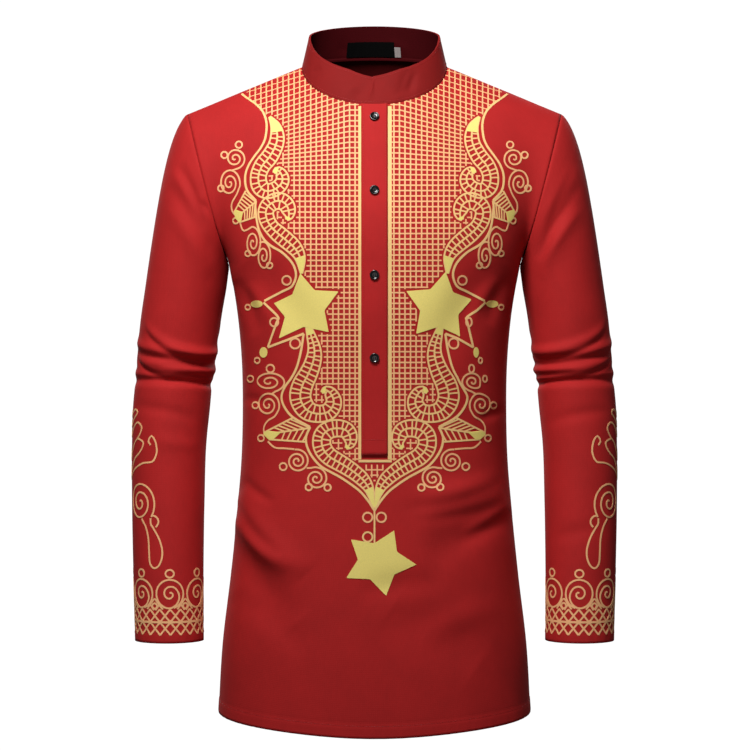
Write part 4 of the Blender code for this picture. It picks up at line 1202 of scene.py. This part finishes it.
CUFF_SPIRALS = 7
CUFF_FIRST_TURN = 97
SLEEVE_RADIUS = 0.0435
LATTICE_TOP, LATTICE_MIDDLE, LATTICE_END = -0.6555, -0.6705, -0.6855
LATTICE_LIFTS, RAIL_LIFT, MIRRORED_LIFT = (0.00037, 0.00034), 0.00043, 0.00045
CUFF_SCROLL = (-637.5, 17.0, 2.5, -75, 1, 1.0)
CUFF_SCROLL_STOPS, CUFF_SCROLL_REACHES = (0, 0.38, 0.5, 1), (1, 1, 0.60, 0.08)
# Between two cuff spirals stands a small roof with a ring and two struts under it, on the lattice.
ROOF_HALF_WIDTH, ROOF_TOP = 0.0105, -0.6425
STRUT_HEAD, STRUT_FOOT = (0.0058, -0.6500), (0.0010, LATTICE_TOP - 0.001)
CUFF_RING, ROOF_RING = (-613.5, 5.2, 4.6), (-651.5, 3.2, 3.2)
KNOT_RADIUS = 2.6
RAIL_LINE = 0.0026
# On a sleeve, the plan's millimetres run round from the outer side to the front, and up.
FOREARM_LINES = (
    ((37, -549), (43.5, -559), (47, -572), (47.7, -586), (48.5, -600), (52, -606), (56, -607), (61, -603),
     (64.5, -594), (64.5, -583.5), (60.5, -571), (54, -560), (50.5, -554.5), (50.5, -548)),
    ((51, -545.5), (55.5, -545), (60, -549.5), (60, -554.5), (57, -558.5)),
    ((8, -503), (17.5, -494), (29, -487), (40.5, -482.5), (50, -481.5), (54, -479.5), (57, -473.5),
     (58, -466.5), (56, -456.5), (51, -450), (47, -456), (50, -461)),
    ((8, -480), (21, -460), (29, -453), (33.5, -447.5), (36, -441.5), (34, -437), (28, -434), (19.5, -439.5),
     (10, -452)),
    ((29, -453), (37, -456), (39.5, -459), (37.5, -465), (31.5, -471.5), (21, -480), (8, -500)),
    ((8, -440), (19, -429.5), (26, -423.5), (25, -420), (18, -419), (8, -428)),
)
FOREARM_SCROLL = Scroll(34, -530, 22.5, 2.4, -40, 1, 1.15)


def on_sleeve(plan, side):
    """Points of a sleeve at turns (as metres round it) and heights, with the normals there."""
    grid = sleeves_at_plus_x[side]
    around, up = np.asarray(plan, float).T
    count = grid.shape[1]
    column = (around / SLEEVE_RADIUS / (2 * math.pi) * count) % count
    j = column.astype(int) % count
    k = (j + 1) % count
    row = np.array([np.interp(-z, -grid[CAP_ROWS:, n, 2], np.arange(CAP_ROWS, len(grid)))
                    for n, z in zip(j, up)])
    i = np.minimum(row.astype(int), len(grid) - 2)
    s, t = (row - i)[:, None], (column - np.floor(column))[:, None]
    places, outwards = (
        ((field[i, j] * (1 - t) + field[i, k] * t) * (1 - s)
         + (field[i + 1, j] * (1 - t) + field[i + 1, k] * t) * s) * (SIGNS[side], 1, 1)
        for field in (grid, sleeve_normals[side]))
    return places, outwards / np.linalg.norm(outwards, axis=1, keepdims=True), np.ones(len(plan), bool)


sleeve_normals = {side: grid_normals(grid, 1, closed=True) for side, grid in sleeves_at_plus_x.items()}
spiral_spacing = 2 * math.pi * SLEEVE_RADIUS / CUFF_SPIRALS * 1000
lattice_pitch = spiral_spacing / 3 * 0.001
for side in SIGNS:
    sleeve_ink = Ink([], [])
    place = lambda plan, side=side: on_sleeve(plan, side)
    for k in range(CUFF_SPIRALS):
        x = math.radians(CUFF_FIRST_TURN) * SLEEVE_RADIUS * 1000 + k * spiral_spacing
        between = (x + spiral_spacing / 2) * 0.001
        roof = [(between - ROOF_HALF_WIDTH, LATTICE_TOP), (between, ROOF_TOP),
                (between + ROOF_HALF_WIDTH, LATTICE_TOP)]
        struts = [[(between + way * out, z) for out, z in (STRUT_HEAD, STRUT_FOOT)] for way in (-1, 1)]
        lines = [spiral(Scroll(x, *CUFF_SCROLL), CUFF_SCROLL_STOPS, CUFF_SCROLL_REACHES),
                 oval(x, *CUFF_RING, 14), oval(between * 1000, *ROOF_RING, 12),
                 *(spread(line) for line in (roof, *struts))]
        for line in lines:
            lay(sleeve_ink, line, SCROLL_LINE, LADDER_LIFT, place)
        for n in range(3):
            knot = np.array((x * 0.001 + (n - 1) * lattice_pitch, LATTICE_MIDDLE))
            for way, lift in zip((-1, 1), LATTICE_LIFTS):
                for end in (LATTICE_TOP, LATTICE_END):
                    bar = [knot, (knot[0] + way * lattice_pitch, end)]
                    lay(sleeve_ink, spread(bar), SCROLL_LINE, lift, place)
            patch(sleeve_ink, oval(*(knot * 1000), KNOT_RADIUS, KNOT_RADIUS, 10)[:-1], BLOB_LIFT, place)
            lay(sleeve_ink, spread([knot, knot + (lattice_pitch, 0)]), RAIL_LINE, RAIL_LIFT, place)
    lay(sleeve_ink, spiral(FOREARM_SCROLL), SCROLL_LINE, SPIRAL_LIFT, place)
    for line in FOREARM_LINES:
        lay(sleeve_ink, curve_through(line), SCROLL_LINE, LINE_LIFT, place)
    for line in FOREARM_LINES[2:]:
        lay(sleeve_ink, curve_through(line) * (-1, 1) + (0.0152, 0), SCROLL_LINE, MIRRORED_LIFT, place)
    printed(f"{side}_sleeve_print", sleeve_ink, fine_yellow_ink)


# Stitches
# Lines of red lockstitch, three stitches to the centimetre, which is a little coarser than real ones. They
# hold the hem, the cuffs, the collar's edges and the placket with the box at its end.

STITCH_LENGTH = 0.0024
STITCH_SPACING = 0.0032
THREAD_RADIUS = 0.00024
STITCH_LIFT = 0.00012
RED_THREAD = "A81A1C"
HEM_STITCH = 0.0148
CUFF_STITCH = 0.0128
COLLAR_STITCH = 0.0030
STRIP_STITCH = 0.0022
BOX_STITCH = 0.0190


def line_on(grid, distance, outwards, closed=False):
    """The line across a grid at this distance from its first row, just off the cloth."""
    raised = grid + grid_normals(grid, outwards, closed) * STITCH_LIFT
    up = travelled(grid, 0)
    columns = range(grid.shape[1])
    line = np.array([[np.interp(distance, up[:, j], raised[:, j, k]) for k in range(3)] for j in columns])
    return np.concatenate([line, line[:1]]) if closed else line


def stitch_tree():
    """Small rounded stitches, one after another along the edges of the mesh that it is given."""
    tree = bpy.data.node_groups.new("stitches", "GeometryNodeTree")
    tree.interface.new_socket("Geometry", in_out="INPUT", socket_type="NodeSocketGeometry")
    for name in ("Spacing", "Stitch Length", "Thread Radius"):
        tree.interface.new_socket(name, in_out="INPUT", socket_type="NodeSocketFloat")
    tree.interface.new_socket("Thread", in_out="INPUT", socket_type="NodeSocketMaterial")
    tree.interface.new_socket("Geometry", in_out="OUTPUT", socket_type="NodeSocketGeometry")
    given = node(tree, "NodeGroupInput").outputs
    curve = node(tree, "GeometryNodeMeshToCurve", links={"Mesh": given["Geometry"]})
    places = node(tree, "GeometryNodeResampleCurve", links={"Curve": curve, "Length": given["Spacing"]},
                  mode="LENGTH")
    along_it = node(tree, "GeometryNodeInputTangent")
    turned = node(tree, "FunctionNodeAlignRotationToVector", links={"Vector": along_it}, axis="X")
    half = node(tree, "ShaderNodeMath", {1: 0.5}, {0: given["Stitch Length"]}, operation="MULTIPLY")
    thread = given["Thread Radius"]
    size = node(tree, "ShaderNodeCombineXYZ", links={"X": half, "Y": thread, "Z": thread})
    bead = node(tree, "GeometryNodeMeshUVSphere", {"Segments": 6, "Rings": 4, "Radius": 1.0})
    stitch = node(tree, "GeometryNodeTransform", links={"Geometry": bead, "Scale": size})
    row = node(tree, "GeometryNodeInstanceOnPoints",
               links={"Points": places, "Instance": stitch, "Rotation": turned})
    real = node(tree, "GeometryNodeRealizeInstances", links={"Geometry": row})
    smooth = node(tree, "GeometryNodeSetShadeSmooth", links={"Geometry": real})
    painted = node(tree, "GeometryNodeSetMaterial", links={"Geometry": smooth, "Material": given["Thread"]})
    node(tree, "NodeGroupOutput", links={"Geometry": painted})
    return tree


def apply_modifiers(made):
    bpy.context.view_layer.update()
    made.data = bpy.data.meshes.new_from_object(made.evaluated_get(bpy.context.evaluated_depsgraph_get()))
    made.modifiers.clear()


def stitched(name, lines):
    """A plain mesh of the stitches along these lines."""
    edges, first = [], 0
    for line in lines:
        edges += [(first + k, first + k + 1) for k in range(len(line) - 1)]
        first += len(line)
    made = shown(name, new_mesh(name + "_guide", np.concatenate(lines), [], edges=edges))
    sewing = made.modifiers.new("stitches", "NODES")
    sewing.node_group = stitches
    sizes = {"Spacing": STITCH_SPACING, "Stitch Length": STITCH_LENGTH, "Thread Radius": THREAD_RADIUS,
             "Thread": red_thread}
    for socket in stitches.interface.items_tree:
        if socket.in_out == "INPUT" and socket.name in sizes:
            sewing[socket.identifier] = sizes[socket.name]
    apply_modifiers(made)
    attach(made, "root")
    return made


stitches = stitch_tree()
red_thread, *_ = new_material("red_polyester_thread", {"Base Color": linear(RED_THREAD), "Roughness": 0.42})

collar_outside = collar_grid()[len(COLLAR_ALLOWANCE):]
strip_across = top_strip_grid.transpose(1, 0, 2)
front_stitches = stitched("front_stitches", [line_on(front_grid, HEM_STITCH, 1)])
back_stitches = stitched("back_stitches", [line_on(back_grid, HEM_STITCH, -1)])
for side, sign in SIGNS.items():
    cuff_line = line_on(sleeve_grids[side][::-1], CUFF_STITCH, -sign, closed=True)
    stitched(f"{side}_sleeve_stitches", [cuff_line])
collar_stitches = stitched("collar_stitches", [
    line_on(collar_outside, COLLAR_STITCH, 1), line_on(collar_outside[::-1], COLLAR_STITCH, -1)])
strip_stitches = stitched("placket_stitches", [
    line_on(strip_across, STRIP_STITCH, -1), line_on(strip_across[::-1], STRIP_STITCH, 1),
    line_on(top_strip_grid, STRIP_STITCH, 1)[1:-1], line_on(top_strip_grid, BOX_STITCH, 1)[1:-1]])


# Buttons
# Four turned black resin buttons with a rounded rim, a sunk middle and four holes. Each is sewn on with
# two bars of black thread.

BLACK_RESIN = "08080A"
BLACK_THREAD = "141414"
BUTTON_SIDES = 44
BEAD_SIDES, BEAD_RINGS = 10, 8
HOLE_PLACE = 0.21  # these are shares of the button's radius
HOLE_RADIUS = 0.115
BUTTON_THREAD_RADIUS = 0.085
BUTTON_THREAD_HEIGHT = 0.60  # as a share of the button's thickness
# Shares of the radius and of the thickness, from the front's middle round to the back.
BUTTON_PROFILE = (
    (0.45, 0.58), (0.58, 0.62), (0.68, 0.76), (0.76, 0.93), (0.84, 1.00), (0.92, 0.94), (0.98, 0.76),
    (1.00, 0.52), (0.97, 0.22), (0.88, 0.04), (0.80, 0.00),
)


def button_places(number):
    """The middle of a button's back, its outward direction, its radius and its thickness."""
    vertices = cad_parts[f"button_{number}"].data.vertices
    places = np.array([v.co for v in vertices])
    middle = (places.min(axis=0) + places.max(axis=0)) / 2
    out = np.linalg.svd(places - places.mean(axis=0), full_matrices=False)[2][2]
    out = out if out[1] < 0 else -out
    depth = (places - middle) @ out
    radius = np.linalg.norm((places - middle) - np.outer(depth, out), axis=1).max()
    return middle + out * depth.min(), out, radius, depth.max() - depth.min()


def mesh_of(name, build):
    """A mesh of what the bmesh holds, which is then freed."""
    mesh = bpy.data.meshes.new(name)
    build.to_mesh(mesh)
    build.free()
    return mesh


def ring_faces(sides, rings):
    """The faces between rings of points that lie one after another."""
    pairs = [(k, (k + 1) % sides) for k in range(sides)]
    return [(i + a, i + sides + a, i + sides + b, i + b)
            for i in range(0, (rings - 1) * sides, sides) for a, b in pairs]


def beads(name, rods, radius, paint):
    """Rounded rods between pairs of points."""
    tilt = math.pi * np.arange(1, BEAD_RINGS)[:, None] / BEAD_RINGS
    turn = math.pi / 2 + 2 * math.pi * np.arange(BEAD_SIDES) / BEAD_SIDES
    rings = points(np.sin(tilt) * np.cos(turn), np.sin(tilt) * np.sin(turn), np.cos(tilt)).reshape(-1, 3)
    ball = np.concatenate([rings, [(0, 0, 1), (0, 0, -1)]])
    top, bottom, last = len(rings), len(rings) + 1, len(rings) - BEAD_SIDES
    ball_faces = ring_faces(BEAD_SIDES, BEAD_RINGS - 1)
    for k in range(BEAD_SIDES):
        after = (k + 1) % BEAD_SIDES
        ball_faces += [(top, k, after), (bottom, last + after, last + k)]
    places, faces = [], []
    for n, (start, end) in enumerate(rods):
        run = Vector(end) - Vector(start)
        turned = np.array(run.to_track_quat("Z", "Y").to_matrix())
        places.append(ball * (radius, radius, run.length / 2 + radius) @ turned.T + (start + end) / 2)
        faces += [[n * len(ball) + corner for corner in face] for face in ball_faces]
    mesh = new_mesh(name, np.concatenate(places), faces, paint)
    mesh.shade_smooth()
    return shown(name, mesh)


def turned_button(name, back, out, radius, thickness):
    """A disc turned to the profile, with four holes drilled through it."""
    aside = np.cross(out, (0, 0, 1))
    aside /= np.linalg.norm(aside)
    up = np.cross(aside, out)
    angles = 2 * math.pi * np.arange(BUTTON_SIDES) / BUTTON_SIDES
    circle = np.outer(np.cos(angles), aside) + np.outer(np.sin(angles), up)
    rings = [back + out * thickness * height + radius * reach * circle for reach, height in BUTTON_PROFILE]
    last = (len(rings) - 1) * BUTTON_SIDES
    faces = ring_faces(BUTTON_SIDES, len(rings))
    faces += [tuple(range(BUTTON_SIDES)), tuple(range(last + BUTTON_SIDES - 1, last - 1, -1))]
    build = bmesh.new()
    build.from_mesh(new_mesh(name + "_rings", np.concatenate(rings), faces))
    bmesh.ops.recalc_face_normals(build, faces=build.faces)
    made = shown(name, mesh_of(name, build))
    made.data.materials.append(button_resin)
    drills = bmesh.new()
    holes = [back + radius * HOLE_PLACE * (a * aside + b * up) for a in (-1, 1) for b in (-1, 1)]
    turn = Vector(out).to_track_quat("Z", "Y").to_matrix().to_4x4()
    for hole in holes:
        bmesh.ops.create_cone(drills, cap_ends=True, segments=14, radius1=radius * HOLE_RADIUS,
                              radius2=radius * HOLE_RADIUS, depth=thickness * 4,
                              matrix=Matrix.Translation(Vector(hole)) @ turn)
    drill = shown(name + "_drill", mesh_of(name + "_drill", drills))
    cut = made.modifiers.new("holes", "BOOLEAN")
    cut.operation = "DIFFERENCE"
    cut.solver = "EXACT"
    cut.object = drill
    apply_modifiers(made)
    bpy.data.objects.remove(drill)
    made.data.shade_smooth()
    made.data.set_sharp_from_angle(angle=math.radians(40))
    return made, holes


button_resin, *_ = new_material("polished_black_resin", {
    "Base Color": linear(BLACK_RESIN), "Roughness": 0.14, "Specular IOR Level": 0.7})
black_thread, *_ = new_material("black_sewing_thread", {"Base Color": linear(BLACK_THREAD), "Roughness": 0.5})
for number in range(1, 5):
    back_middle, out, radius, thickness = button_places(number)
    button, holes = turned_button(f"black_button_{number}", back_middle, out, radius, thickness)
    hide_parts(f"button_{number}")
    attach(button, "root")
    ends = [hole + out * thickness * BUTTON_THREAD_HEIGHT for hole in holes]
    bars = beads(f"button_thread_{number}", [ends[:2], ends[2:]], radius * BUTTON_THREAD_RADIUS, black_thread)
    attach(bars, "root")


# Label and size tab
# A plain black woven label and a small off-white tab beside it, sewn inside the back of the collar.
# Both are blank.

label_weave = cloth_material("black_satin_label", "040404", "333333", thread=0.0009, flat=True, shine=0.05)
tab_weave = cloth_material("off_white_tab", "8C8280", "FFFFFF", thread=0.0009, flat=True)
for name, weave in (("neck_label", label_weave), ("size_tab", tab_weave)):
    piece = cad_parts[name]
    piece.data.materials.clear()
    piece.data.materials.append(weave)
